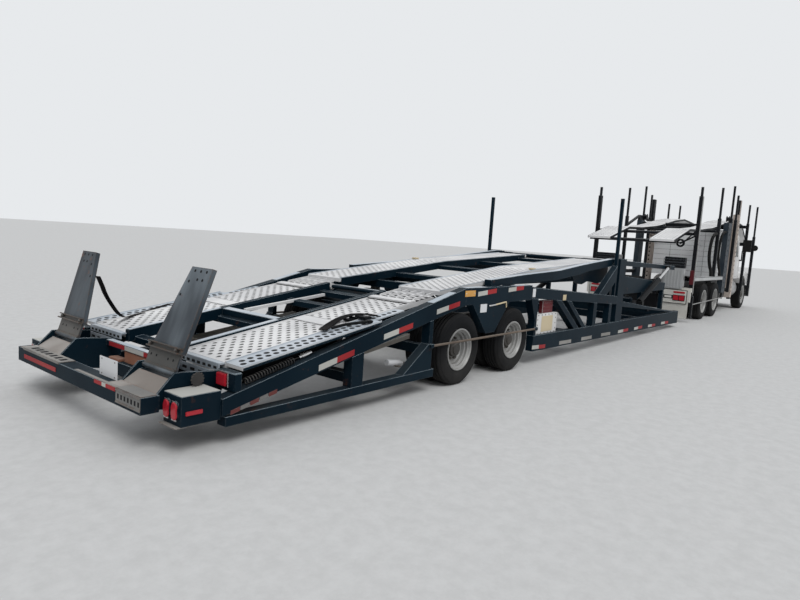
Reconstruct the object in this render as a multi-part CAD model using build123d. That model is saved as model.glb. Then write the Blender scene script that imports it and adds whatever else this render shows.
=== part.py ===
from build123d import *
from collections import namedtuple
from math import cos, pi, radians, sin
import os

# An articulated car transporter: a conventional tractor with a loading rack over its cab and
# chassis, and a low two-axle trailer hitched to a stinger behind the drive axles.
# Millimetres. +X runs forward, +Y to the left, +Z up, with the ground at z = 0.
# An (x, z) pair is a place in the side view, and a y pair is a band across the vehicle.

os.makedirs("parts", exist_ok=True)

Line = namedtuple("Line", "start end")
Member = namedtuple("Member", "top bottom")
Strut = namedtuple("Strut", "foot_rear foot_front head_rear head_front")
Post = namedtuple("Post", "x depth foot sleeve head")
Bar = namedtuple("Bar", "x length bottom top")
Wheel = namedtuple("Wheel", "radius width rim_radius dish bore")

# Whole vehicle
TAIL_X = -11000
NOSE_X = 11000
PIN_CLEARANCE = 0.5
WHEEL_SIDES = 32

# Trailer side frames
SIDE_Y = 1290
SIDE_WIDTH = 100
SIDE_IN = SIDE_Y - SIDE_WIDTH
SIDE_BAND = (SIDE_IN, SIDE_Y)
TAIL_END_X = -10510
FENDER_X = -7420
ARM_X = -5850
POST_X = -2620
POST_FRONT_X = -2320
POST_TOP_Z = 1470
LOW_RAIL_END_X = -5700
LOW_RAIL_FRONT_X = 1460

REAR_BEAM = Member(Line((TAIL_END_X, 360), (FENDER_X, 1080)), Line((TAIL_END_X, 230), (FENDER_X, 890)))
FENDER_BEAM = Member(Line((FENDER_X, 1080), (ARM_X, 1080)), Line((FENDER_X, 890), (ARM_X, 890)))
ARM_BEAM = Member(Line((ARM_X, 1050), (POST_X, 830)), Line((ARM_X, 910), (POST_X, 690)))
LOW_REAR_RAIL = Member(Line((-10480, 222), (-7950, 250)), Line((-10480, 150), (-7950, 168)))
LOW_RAIL = Member(
    Line((LOW_RAIL_END_X, 400), (LOW_RAIL_FRONT_X, 360)), Line((LOW_RAIL_END_X, 190), (LOW_RAIL_FRONT_X, 90))
)
SLANT_TOP = ((POST_FRONT_X, 725), 1080)
SLANT_BOTTOM = ((POST_FRONT_X, 635), 900)
SLIM_POST_X = (-2745, -2695)
SLIM_POST_Y = (1225, 1275)
SLIM_POST_TOP_Z = 2480

TRUSS_STRUTS = (
    Strut(-4360, -4180, -5080, -4900),
    Strut(-4050, -3910, -4700, -4560),
    Strut(-3650, -3520, -3650, -3520),
    Strut(-2960, -2850, -2960, -2850),
)
TAIL_STRUTS = (Strut(-9190, -9040, -9190, -9040), Strut(-8060, -8000, -8060, -8000))
TAIL_GUSSET = ((-8460, -8059), 520)
SKIRT_WIDTH = 60
SKIRT_BEND_Z = 620
GUARD_Z = 500
GUARD = 24
GUARD_OFFSET = 18
WHEEL_GUSSET = Strut(-6950, -6750, -7270, -6430)
WHEEL_GUSSET_FOOT_Z = 540
BRACE_FOOT_X = (-3480, -3150)
BRACE_HEAD_Z = (1180, 1430)

# Trailer cross members
CROSS_BARS = (
    Bar(TAIL_END_X, 110, 232, 345),
    Bar(-9160, 100, 260, 350),
    Bar(-8060, 70, 400, 500),
    Bar(-7640, 60, 850, 940),
    Bar(-6870, 90, 900, 1000),
    Bar(LOW_RAIL_END_X, 110, 910, 1010),
    Bar(-4330, 120, 250, 350),
    Bar(-2520, 120, 400, 520),
    Bar(-600, 120, 200, 310),
)

SIDE_PANEL_X = (-5560, -4920)
SIDE_PANEL_TOP_Z = 675

# Decks: side view lines of the tread surface
RUNWAY_Y = (480, 1060)
PLANK_DEPTH = 45
DECK_RAIL_WIDTH = 60
HINGE_PIN = 44
HINGE_KNUCKLE = 76
REAR_DECK_HINGE = (-7720, 925)
REAR_DECK = Line((-10330, 560), (-7735, 967.5))
OUTER_STRIP_Y = 1270
OUTER_STRIP_END_X = -8800
STRIP_DEPTH = 25
REAR_TIES_X = (-10270, -9400, -8500, -7990)
REAR_RAIL_RISE = 30
LOCK_BAR_X = (-9350, -9270)
COMB = ((-8020, 0), (-7745, 0), (-7660, -8), (-7640, 8), (-7665, 28), (-7980, 28))
COMB_Y = (540, 655, 770, 885, 1000)
COMB_PLATE = 14
WALL_PLATE_Y = 680
WALL_PLATE_Z = (620, 940)
DECK_SHAFT = (-2470, 1405)
SHAFT = 60
MID_DECK = ((-7610, 1025), (-5320, 1262), (-2660, 1420))
MID_RAIL_Y = (1085, 1180)
MID_RAIL = ((-6720, 1150), (-5900, 1205), (-4800, 1262), (-4000, 1345), (-2700, 1460), (-2395, 1460), (-2395, 1345),
            (-2700, 1340), (-3720, 1255), (-4110, 1200), (-4870, 1130), (-5590, 1108), (-6720, 1075))
MID_WEB = ((-4090, 1200), (-3990, 1090), (-3850, 1042), (-3650, 1030), (-3450, 1075), (-3250, 1062), (-3000, 1030),
           (-2850, 1050), (-2640, 1120), (-2560, 1240))
MID_WEB_Y = (1036, 1056)
MID_TIES_X = (-6500, -5500, -4300, -3000)
FRONT_RAIL_Y = (960, 1040)
FRONT_RAIL = Member(Line((-2540, 1450), (1740, 1350)), Line((-2540, 1360), (1740, 1262)))
FRONT_DECK_X = -2300
FRONT_TIES_X = (-2200, -900, 400, 1640)
BELLY_BEAM = Member(Line((POST_FRONT_X, 1190), (1100, 980)), Line((POST_FRONT_X, 800), (1100, 820)))
BELLY_BARS = (Bar(-2200, 90, 700, 790), Bar(-500, 90, 440, 530), Bar(980, 90, 270, 358))
CYLINDER_Y = 1110
CYLINDER_FOOT = (-820, 640)
CYLINDER_END = (300, 1060)
RAM_END = (1000, 1322)
CYLINDER = 110
RAM = 60

# Trailer tail
BUMPER_DEPTH = 135
BUMPER_Y = 1070
BUMPER_Z = (280, 400)
SKID_Y = (545, 1025)
CHEEK = 15
FLAP_HINGE = (-10710, 508)
FLAP_LEAN = 18
FLAP_SKIN = 14
FLAP_LIP = 14
FLAP_DEPTH = 38
LAMP_BOX_Y = (1050, 1270)
LAMP_BOX_Z = (210, 420)
LAMP_BOX_X = -10820
LAMPS_Y = (1108, 1208)
LAMP = 70
LAMP_RISE = 30

# Hitch
PIVOT_X = 1830
HITCH_PIN = 90
COUPLER_Z = (405, 520)
COUPLER_RADIUS = 120
STINGER_Z = (270, 395)
FRONT_BEAM_X = 1330
FRONT_BEAM_Z = (110, 350)

# Wheels: the radius is to a flat of the tread
TRAILER_WHEEL = Wheel(398.5, 235, 222, 120, 130)
DRIVE_WHEEL = Wheel(465, 245, 286, 130, 150)
STEER_WHEEL = Wheel(465, 275, 286, 60, 90)
DUAL_GAP = 30
SPINDLE_DEPTH = 60
TRAILER_AXLES = (-7450, -6250)
DRIVE_AXLES = (3980, 5280)
STEER_AXLE_X = 9650
DRIVE_WHEEL_OUT = 1262
STEER_WHEEL_OUT = 1200
KINGPIN_Y = STEER_WHEEL_OUT - STEER_WHEEL.width - 105

# Tractor chassis
CHASSIS_Y = (390, 470)
CHASSIS_Z = (620, 880)
CHASSIS_X = (2500, 10640)
CHASSIS_BARS_X = (2620, 4580, 6000, 7400, 8900, 10520)
REAR_PLANE_X = 2480
CAB_MOUNTS_X = (7000, 7400, 8850)

# Cab, sleeper and hood
CAB_Y = 1100
WALL = 45
CAB_FLOOR_Z = 1000
CAB_REAR_X = 7600
SLEEPER_REAR_X = 6900
SLEEPER_Y = 965
FIREWALL_X = 9050
SCREEN_BASE = (8990, 1640)
ROOF_FRONT = (8520, 2320)
ROOF_CROWN = (8150, 2420)
ROOF_REAR_Z = 2440
DOOR_X = (7760, 8900)
DOOR_Z = (1050, 2270)
DOOR_GAP = 6
DOOR_SHOULDER_Z = 1660
DOOR_HINGES_Z = (1160, 1500)
DOOR_TOP_X = 8500
WINDOW_SILL_Z = 1680
GLASS = 6
HOOD_Y = 800
FENDER_Y = 1165
FENDER_LOW_Z = 780
HOOD_SKIN = 25
NOSE_FACE_X = 10860
GRILLE_Y = 330
GRILLE_Z = (840, 1250)
ARCH_RADIUS = 620
HOOD_HINGE = (10790, 690)
HOOD_LUG_Y = (480, 505)
BUMPER_FRONT_Z = (360, 740)
TOW_Y = 400

# Loading rack over the tractor
RACK_Y = (1180, 1260)
RACK_POSTS = (
    Post(2640, 110, 620, 3030, 3250),
    Post(4840, 80, 1000, 2650, 3460),
    Post(6310, 80, 620, 2750, 3660),
    Post(6960, 60, 620, 2750, 3460),
    Post(8960, 60, 620, 2750, 3350),
    Post(10340, 80, 400, 2400, 3400),
)
RACK_TUBE = 52
RACK_COLUMN = Post(5930, 360, 620, 2600, 2600)
RACK_MAST = Post(7180, 200, 410, 3340, 3340)
RACK_FRONT = ((6140, 2545), (7080, 2690), (8080, 2790), (9280, 2730), (9980, 2380), (10430, 2200))
RACK_HINGE = (6060, 2520)
RACK_REAR = ((1580, 1950), (2880, 2260), (3880, 2300), (5180, 2410), (6010, 2520))
RACK_RUNWAY_Y = (460, 1010)
RACK_PLANK = 50
RACK_SILL_Z = (1000, 1100)
OUTRIGGER_Z = (640, 740)
RACK_FRONT_TIES_X = (6315, 8955, 10345)
RACK_REAR_TIES = ((1700, 1010), (2655, 1170), (4845, 1170), (5700, 1010))


def at(line, x):
    """The height at x on a straight line of the side view."""
    (x0, z0), (x1, z1) = line
    return z0 + (z1 - z0) * (x - x0) / (x1 - x0)


def along(points, x):
    """The height at x on a bent line of the side view."""
    for start, end in zip(points, points[1:]):
        if x <= end[0]:
            return at((start, end), x)
    return at((points[-2], points[-1]), x)


def box(x, y, z):
    """A block from the first to the second value on each axis."""
    block = Box(x[1] - x[0], y[1] - y[0], z[1] - z[0])
    return Pos((x[0] + x[1]) / 2, (y[0] + y[1]) / 2, (z[0] + z[1]) / 2) * block


def plate(outline, y):
    """A side-view outline of (x, z) corners, made solid across the band y."""
    face = make_face(Polyline(*outline, close=True))
    return Pos(0, y[1], 0) * extrude(Plane.XZ * face, y[1] - y[0])


def member(shape, y):
    """A straight beam between its top line and its bottom line."""
    top, bottom = shape
    return plate((bottom.start, bottom.end, top.end, top.start), y)


def strut(spec, foot_line, head_line, y):
    """A web from the top of one member to the underside of another."""
    foot = [(x, at(foot_line, x)) for x in (spec.foot_rear, spec.foot_front)]
    head = [(x, at(head_line, x)) for x in (spec.head_front, spec.head_rear)]
    return plate(foot + head, y)


def plank(points, depth, y):
    """A tread plank that follows a bent line of the side view."""
    under = [(x, z - depth) for x, z in reversed(points)]
    return plate(list(points) + under, y)


def tie(points, x, length, drop, depth, y):
    """A cross bar that lies against the underside of a plank."""
    top = [(at_x, along(points, at_x) - drop) for at_x in (x, x + length)]
    under = [(at_x, z - depth) for at_x, z in reversed(top)]
    return plate(top + under, y)


def rod(start, end, diameter):
    """A round bar between two points in space."""
    way = Vector(*end) - Vector(*start)
    bar = Cylinder(diameter / 2, way.length, align=(Align.CENTER, Align.CENTER, Align.MIN))
    return Plane(origin=start, z_dir=way) * bar


def cross_rod(place, y, diameter):
    """A round bar across the vehicle at an (x, z) place."""
    return rod((place[0], y[0], place[1]), (place[0], y[1], place[1]), diameter)


def upright(x, y, z_low, z_high, diameter):
    """A round bar that stands up."""
    return rod((x, y, z_low), (x, y, z_high), diameter)


def flip(solid):
    """The mirror image on the right-hand side."""
    return mirror(solid, about=Plane.XZ)


def pair(*solids):
    """The solids and their mirror images."""
    return list(solids) + [flip(s) for s in solids]


def bands(y):
    """A band and its mirror image."""
    return (y, (-y[1], -y[0]))


def save(node, *solids):
    """Write one sub-part."""
    found = [part for s in solids for part in s.solids()]
    shape = found[0] if len(found) == 1 else Compound(children=found)
    export_step(shape, f"parts/{node}.step")


def turned(section, sides):
    """A closed solid of flats: the (radius, y) corners of a section taken round the Y axis."""
    step = 2 * pi / sides
    reach = 1 / cos(step / 2)
    turns = [(k + 0.5) * step for k in range(sides)]
    loops = [[Vector(r * reach * sin(t), y, -r * reach * cos(t)) for t in turns] for r, y in section]
    faces = []
    for i, (radius, y) in enumerate(section):
        j = (i + 1) % len(section)
        next_radius, next_y = section[j]
        if radius == 0 and next_radius == 0:
            continue
        if y == next_y:
            outer, inner = (i, j) if radius > next_radius else (j, i)
            holes = [Wire.make_polygon(loops[inner], close=True)] if min(radius, next_radius) else []
            faces.append(Face(Wire.make_polygon(loops[outer], close=True), holes))
            continue
        for k in range(sides):
            n = (k + 1) % sides
            faces.append(Face(Wire.make_polygon([loops[i][k], loops[i][n], loops[j][n], loops[j][k]], close=True)))
    return Solid(Shell(faces))


def wheel_section(spec, y_out, y_in):
    """Half section of a wheel with one or two tyres, from the hub cap round to the axle's bore."""
    tread_edge = spec.width * 0.14
    shoulder = spec.radius * 0.045
    bead = spec.rim_radius + 14
    hub = spec.rim_radius * 0.42
    back = y_in - 6
    section = [
        (0, y_out - 30),
        (hub, y_out - 30),
        (hub, y_out - spec.dish),
        (spec.rim_radius - 22, y_out - spec.dish),
        (spec.rim_radius, y_out - 12),
        (bead, y_out - 12),
    ]
    tyres = [(y_out, y_out - spec.width)]
    if y_out - y_in > spec.width:
        tyres.append((y_in + spec.width, y_in))
    for start, end in tyres:
        section += [
            (spec.radius - shoulder, start),
            (spec.radius, start - tread_edge),
            (spec.radius, end + tread_edge),
            (spec.radius - shoulder, end),
            (bead, end + 12),
        ]
    section += [
        (spec.rim_radius - 20, y_in + 12),
        (spec.rim_radius - 40, back),
        (spec.bore / 2 + PIN_CLEARANCE, back),
        (spec.bore / 2 + PIN_CLEARANCE, back + SPINDLE_DEPTH),
        (0, back + SPINDLE_DEPTH),
    ]
    return section


def wheel(node, spec, x, side, y_out, y_in):
    """One wheel body: its tyres with the rims that carry them, standing on a flat."""
    solid = turned(wheel_section(spec, y_out, y_in), WHEEL_SIDES)
    save(node, Pos(x, 0, spec.radius) * (solid if side > 0 else flip(solid)))


def twin_inside(spec, y_out):
    """The inner face of the inner tyre of a twin wheel."""
    return y_out - 2 * spec.width - DUAL_GAP


def trailer_side_frames():
    """The welded truss on each side: beams, low rails, posts and the struts between them."""
    save("trailer_side_beams", *pair(member(REAR_BEAM, SIDE_BAND), member(ARM_BEAM, SIDE_BAND)))
    heads = (WHEEL_GUSSET.head_front, WHEEL_GUSSET.head_rear)
    gusset = plate(
        [(WHEEL_GUSSET.foot_rear, WHEEL_GUSSET_FOOT_Z), (WHEEL_GUSSET.foot_front, WHEEL_GUSSET_FOOT_Z)]
        + [(x, at(FENDER_BEAM.bottom, x) + 1) for x in heads],
        SIDE_BAND,
    )
    save("trailer_fender_beams", *pair(member(FENDER_BEAM, SIDE_BAND) + gusset))
    save("trailer_low_rails", *pair(member(LOW_REAR_RAIL, SIDE_BAND), member(LOW_RAIL, SIDE_BAND)))
    post = plate(
        ((POST_X, at(LOW_RAIL.top, POST_X)), (POST_FRONT_X, at(LOW_RAIL.top, POST_FRONT_X)),
         (POST_FRONT_X, POST_TOP_Z), (POST_X, POST_TOP_Z)),
        SIDE_BAND,
    )
    slim_foot = [(x, at(ARM_BEAM.top, x)) for x in SLIM_POST_X]
    slim = plate(slim_foot + [(x, SLIM_POST_TOP_Z) for x in reversed(SLIM_POST_X)], SLIM_POST_Y)
    save("trailer_posts", *pair(post, slim))
    webs = [strut(s, LOW_RAIL.top, ARM_BEAM.bottom, SIDE_BAND) for s in TRUSS_STRUTS]
    webs += [strut(s, LOW_REAR_RAIL.top, REAR_BEAM.bottom, SIDE_BAND) for s in TAIL_STRUTS]
    brace_foot = [(x, at(ARM_BEAM.top, x)) for x in BRACE_FOOT_X]
    brace_head = [(POST_X, z) for z in BRACE_HEAD_Z]
    brace = plate(brace_foot + brace_head, (SIDE_IN, SLIM_POST_Y[0] - 5))
    broad_end = SLIM_POST_X[0] - 5
    broad_head = [(broad_end, at(Line(foot, head), broad_end)) for foot, head in zip(reversed(brace_foot), brace_head)]
    brace += plate(brace_foot + broad_head, (SLIM_POST_Y[0] - 6, SIDE_Y))
    slant_feet = [(x, at(LOW_RAIL.top, x)) for x in (SLANT_BOTTOM[1], SLANT_TOP[1])]
    slant = plate([SLANT_BOTTOM[0]] + slant_feet + [SLANT_TOP[0]], SIDE_BAND)
    low, high = at(LOW_RAIL.top, LOW_RAIL_END_X), at(ARM_BEAM.bottom, LOW_RAIL_END_X + SKIRT_WIDTH)
    skirt = plate(
        ((LOW_RAIL_END_X, low), (LOW_RAIL_END_X + SKIRT_WIDTH, low), (LOW_RAIL_END_X + SKIRT_WIDTH, high),
         (ARM_X + 5, at(ARM_BEAM.bottom, ARM_X + 5)), (LOW_RAIL_END_X, SKIRT_BEND_Z)),
        SIDE_BAND,
    )
    gusset_x, gusset_top = TAIL_GUSSET
    gusset = [(x, at(LOW_REAR_RAIL.top, x)) for x in gusset_x]
    rear_web = webs.pop() + plate(gusset + [(gusset_x[1], gusset_top)], SIDE_BAND)
    guard_y = SIDE_Y + GUARD_OFFSET
    ends = (TAIL_STRUTS[-1].foot_rear + 30, LOW_RAIL_END_X + SKIRT_WIDTH / 2)
    frame = skirt + rear_web + rod((ends[0], guard_y, GUARD_Z), (ends[1], guard_y, GUARD_Z), GUARD)
    for x in ends:
        frame += box((x - 25, x + 25), (SIDE_Y - 5, guard_y + GUARD / 2), (GUARD_Z - 20, GUARD_Z + 20))
    save("trailer_struts", *pair(*webs, brace, slant, frame))


def trailer_cross_members():
    """Bars between the two side frames, the deck hinge pins, and the belly beams on their bars."""
    width = (-SIDE_IN, SIDE_IN)
    bars = [box((b.x, b.x + b.length), width, (b.bottom, b.top)) for b in CROSS_BARS]
    wall_x = CROSS_BARS[3].x
    bars[3] += box((wall_x - 15, wall_x), (-WALL_PLATE_Y, WALL_PLATE_Y), WALL_PLATE_Z)
    bars.append(cross_rod(DECK_SHAFT, width, SHAFT))
    bars.append(cross_rod(REAR_DECK_HINGE, width, HINGE_PIN))
    for bar in BELLY_BARS:
        frame = box((bar.x, bar.x + bar.length), width, (bar.bottom, bar.top))
        ends = [(x, at(BELLY_BEAM.bottom, x)) for x in (bar.x + bar.length, bar.x)]
        for band in bands(FRONT_RAIL_Y):
            frame += plate([(bar.x, bar.top - 1), (bar.x + bar.length, bar.top - 1)] + ends, band)
        bars.append(frame)
    save("trailer_cross_members", *bars)
    save("trailer_belly_beams", *pair(member(BELLY_BEAM, FRONT_RAIL_Y)))


def trailer_coupler():
    """The front beam with the neck and ring that sit over the stinger's pin."""
    beam = box((FRONT_BEAM_X, LOW_RAIL_FRONT_X), (-SIDE_IN, SIDE_IN), FRONT_BEAM_Z)
    neck = box((FRONT_BEAM_X, LOW_RAIL_FRONT_X), (-260, 260), (FRONT_BEAM_Z[1] - 1, COUPLER_Z[1]))
    tongue = box((LOW_RAIL_FRONT_X - 1, PIVOT_X), (-100, 100), COUPLER_Z)
    ring = upright(PIVOT_X, 0, *COUPLER_Z, 2 * COUPLER_RADIUS)
    bore = upright(PIVOT_X, 0, COUPLER_Z[0] - 1, COUPLER_Z[1] + 1, HITCH_PIN + 2 * PIN_CLEARANCE)
    save("trailer_coupler", beam + neck + tongue + ring - bore)


def trailer_tail():
    """Step bumper, the skids that carry the tail flaps, and the lamp boxes."""
    inner_x = TAIL_X + BUMPER_DEPTH
    step = box((TAIL_X, inner_x), (-BUMPER_Y, BUMPER_Y), BUMPER_Z)
    hinge_x, hinge_z = FLAP_HINGE
    tray = plate(
        ((inner_x - 1, 290), (TAIL_END_X, 240), (TAIL_END_X, 340), (hinge_x + 40, 350), (hinge_x + 40, 470),
         (hinge_x - 25, 470), (inner_x - 1, 385)),
        SKID_Y,
    )
    over_bar, cheek_end = CROSS_BARS[0].top + 1, TAIL_END_X + 165
    cheek = ((inner_x - 1, 290), (TAIL_END_X - 1, 240), (TAIL_END_X - 1, over_bar), (cheek_end, over_bar),
             (cheek_end, hinge_z - 8), (hinge_x + 40, hinge_z + 22), (hinge_x - 30, hinge_z + 22),
             (inner_x - 1, BUMPER_Z[1]))
    skid = tray + plate(cheek, (SKID_Y[0] - CHEEK, SKID_Y[0] + 1)) + plate(cheek, (SKID_Y[1] - 1, SKID_Y[1] + CHEEK))
    skid += cross_rod(FLAP_HINGE, SKID_Y, 18)
    inner_y = SKID_Y[0] - CHEEK + 1
    latch_bar = box((TAIL_END_X + 30, TAIL_END_X + 90), (-inner_y, inner_y), (hinge_z - 55, hinge_z - 10))
    save("trailer_tail_step", step + skid + flip(skid) + latch_bar)
    lamps = box((LAMP_BOX_X, TAIL_END_X), LAMP_BOX_Y, LAMP_BOX_Z)
    middle = sum(LAMP_BOX_Z) / 2
    face, back = LAMP_BOX_X - 12, LAMP_BOX_X + 1
    for y in LAMPS_Y:
        lamps += box((face, back), (y - LAMP / 2, y + LAMP / 2), (middle - LAMP_RISE, middle + LAMP_RISE))
        for z in (middle - LAMP_RISE, middle + LAMP_RISE):
            lamps += rod((face, y, z), (back, y, z), LAMP)
    save("trailer_lamp_boxes", *pair(lamps))


def trailer_running_gear():
    """Axles with their seats, and the spring packs hung from the cross members."""
    end = twin_inside(TRAILER_WHEEL, SIDE_Y) - 6 + SPINDLE_DEPTH - 5
    seat_top = 600
    spring_y = (515, 605)
    hangers = CROSS_BARS[3:6]
    spring = box((hangers[0].x, hangers[-1].x + hangers[-1].length), spring_y, (seat_top, seat_top + 50))
    for bar in hangers:
        spring += box((bar.x, bar.x + bar.length), spring_y, (seat_top + 49, bar.bottom))
    for x in TRAILER_AXLES:
        spring += box((x - 60, x + 60), spring_y, (TRAILER_WHEEL.radius, seat_top + 1))
    gear = spring + flip(spring)
    for x in TRAILER_AXLES:
        gear += cross_rod((x, TRAILER_WHEEL.radius), (-end, end), TRAILER_WHEEL.bore)
    save("trailer_axles", gear)


def trailer_stores():
    """The ramps stored below the rear deck and the panels beside the wheels."""
    rise = Line((-9400, 318), (-7950, 516))
    ramp = plank((rise.start, rise.end), -50, (600, 950))
    save("trailer_stored_ramps", *pair(ramp))
    rear, front = SIDE_PANEL_X
    foot = [(x, at(LOW_RAIL.top, x)) for x in SIDE_PANEL_X]
    panel = plate(foot + [(front, SIDE_PANEL_TOP_Z), (rear, SIDE_PANEL_TOP_Z)], (1205, 1245))
    panel += box((rear + 160, front - 180), (1195, 1245), (SIDE_PANEL_TOP_Z - 1, SIDE_PANEL_TOP_Z + 180))
    save("trailer_side_panels", *pair(panel))


def rear_deck():
    """The sloping deck behind the wheels, hinged at its front end."""
    points = (REAR_DECK.start, REAR_DECK.end)
    strip_points = (REAR_DECK.start, (OUTER_STRIP_END_X, at(REAR_DECK, OUTER_STRIP_END_X)))
    runway = plank(points, PLANK_DEPTH, RUNWAY_Y)
    runway += plank(strip_points, STRIP_DEPTH, (RUNWAY_Y[1] - 1, OUTER_STRIP_Y))
    runway += cross_rod(REAR_DECK_HINGE, RUNWAY_Y, HINGE_KNUCKLE)
    for y in COMB_Y:
        comb = [(x, at(REAR_DECK, x) + z - (5 if z == 0 else 0)) for x, z in COMB]
        runway += plate(comb, (y - COMB_PLATE / 2, y + COMB_PLATE / 2))
    runway -= cross_rod(REAR_DECK_HINGE, (RUNWAY_Y[0] - 1, RUNWAY_Y[1] + 1), HINGE_PIN + 2 * PIN_CLEARANCE)
    save("rear_deck_runways", *pair(runway))
    rail_end = REAR_DECK.end[0] - 95
    rail = ((REAR_DECK.start[0], REAR_DECK.start[1] + REAR_RAIL_RISE), (rail_end, at(REAR_DECK, rail_end) + REAR_RAIL_RISE))
    frame = None
    for band in bands((RUNWAY_Y[0] - DECK_RAIL_WIDTH, RUNWAY_Y[0])):
        piece = plank(rail, 110, band)
        frame = piece if frame is None else frame + piece
    for x in REAR_TIES_X:
        frame += tie(points, x, 80, PLANK_DEPTH, 60, (-RUNWAY_Y[1], RUNWAY_Y[1]))
    lock_bar = [(x, at(REAR_DECK, x) + REAR_RAIL_RISE - 8) for x in LOCK_BAR_X]
    inner = RUNWAY_Y[0] - DECK_RAIL_WIDTH + 1
    frame += plank(lock_bar, 60, (-inner, inner))
    save("rear_deck_frame", frame)


def mid_deck():
    """The deck over the wheels, hinged on the shaft between the main posts."""
    save("mid_deck_runways", *pair(plank(MID_DECK, PLANK_DEPTH, RUNWAY_Y)))
    bore = cross_rod(DECK_SHAFT, (MID_RAIL_Y[0] - 1, MID_RAIL_Y[1] + 1), SHAFT + 2 * PIN_CLEARANCE)
    rail = plate(MID_RAIL, MID_RAIL_Y) - bore
    frame = rail + flip(rail)
    for x in MID_TIES_X:
        frame += tie(MID_DECK, x, 90, PLANK_DEPTH, 55, (-MID_RAIL_Y[0] - 1, MID_RAIL_Y[0] + 1))
    rear, front = MID_WEB[0][0], MID_WEB[-1][0]
    under = [(x, along(MID_DECK, x) - PLANK_DEPTH) for x in (front, rear)]
    web = plate(list(MID_WEB) + under, MID_WEB_Y)
    save("mid_deck_frame", frame + web + flip(web))


def front_deck():
    """The upper deck ahead of the main posts, lifted at its front end by two cylinders."""
    top = (FRONT_RAIL.top.start, FRONT_RAIL.top.end)
    points = ((FRONT_DECK_X, at(FRONT_RAIL.top, FRONT_DECK_X)), FRONT_RAIL.top.end)
    save("front_deck_runways", *pair(plank(points, PLANK_DEPTH, (RUNWAY_Y[0], FRONT_RAIL_Y[0]))))
    bore = cross_rod(DECK_SHAFT, (FRONT_RAIL_Y[0] - 1, FRONT_RAIL_Y[1] + 1), SHAFT + 2 * PIN_CLEARANCE)
    rail = member(FRONT_RAIL, FRONT_RAIL_Y) - bore
    frame = rail + flip(rail)
    for x in FRONT_TIES_X:
        frame += tie(top, x, 80, PLANK_DEPTH, 40, (-FRONT_RAIL_Y[0] - 1, FRONT_RAIL_Y[0] + 1))
    save("front_deck_frame", frame)


def deck_cylinders():
    """Lift cylinders: each stands on a bracket, its rod's eye beside the deck rail."""
    def place(point):
        return (point[0], CYLINDER_Y, point[1])

    barrel = rod(place(CYLINDER_FOOT), place(CYLINDER_END), CYLINDER)
    ram = rod(place(CYLINDER_END), place(RAM_END), RAM)
    eye = cross_rod(RAM_END, (CYLINDER_Y - 64, CYLINDER_Y + 30), 80)
    foot_x = CYLINDER_FOOT[0]
    foot_z = at(Line(SLANT_TOP[0], (SLANT_TOP[1], 363)), foot_x)
    bracket = box((foot_x - 60, foot_x + 60), (CYLINDER_Y - 30, SIDE_IN), (foot_z - 60, CYLINDER_FOOT[1] + 10))
    save("front_deck_cylinders", *pair(barrel + ram + eye + bracket))


def tail_flap(node, side):
    """A folding tail flap: its knuckle, a short hinge panel and a tapered blade."""
    lean = radians(FLAP_LEAN)
    hinge_x, hinge_z = FLAP_HINGE
    face = Plane(origin=(hinge_x, 0, hinge_z), x_dir=(0, 1, 0), z_dir=(cos(lean), 0, -sin(lean)))
    outline = ((575, 0), (1000, 0), (1000, 160), (1050, 795), (785, 795), (585, 160), (575, 160))
    flap = extrude(face * make_face(Polyline(*outline, close=True)), FLAP_SKIN)
    flanges = (
        ((1000 - FLAP_LIP, 150), (1000, 150), (1050, 795), (1050 - FLAP_LIP, 795)),
        ((585, 160), (585 + FLAP_LIP, 160), (785 + FLAP_LIP, 795), (785, 795)),
        ((575, 145), (1000, 145), (1000, 145 + FLAP_LIP), (575, 145 + FLAP_LIP)),
    )
    for flange in flanges:
        flap += extrude(face * make_face(Polyline(*flange, close=True)), FLAP_DEPTH)
    flap += cross_rod(FLAP_HINGE, (575, 1000), 40)
    flap -= cross_rod(FLAP_HINGE, (574, 1001), 18 + 2 * PIN_CLEARANCE)
    save(node, flap if side > 0 else flip(flap))


def chassis():
    """The ladder frame with its cab mounts, and the stinger."""
    frame = None
    for band in bands(CHASSIS_Y):
        rail = box(CHASSIS_X, band, CHASSIS_Z)
        frame = rail if frame is None else frame + rail
        for x in CAB_MOUNTS_X:
            frame += box((x, x + 120), band, (CHASSIS_Z[1] - 1, CAB_FLOOR_Z))
    for x in CHASSIS_BARS_X:
        frame += box((x, x + 100), (-CHASSIS_Y[0] - 1, CHASSIS_Y[0] + 1), (660, 840))
    save("truck_chassis", frame)
    low, high = STINGER_Z
    drop = plate(((2700, low), (3200, low), (3440, CHASSIS_Z[0]), (2700, CHASSIS_Z[0])), (-CHASSIS_Y[1], CHASSIS_Y[1]))
    beam = box((PIVOT_X - 110, 2701), (-150, 150), STINGER_Z)
    save("truck_stinger", drop + beam + upright(PIVOT_X, 0, high - 1, COUPLER_Z[1] + 40, HITCH_PIN))


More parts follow.
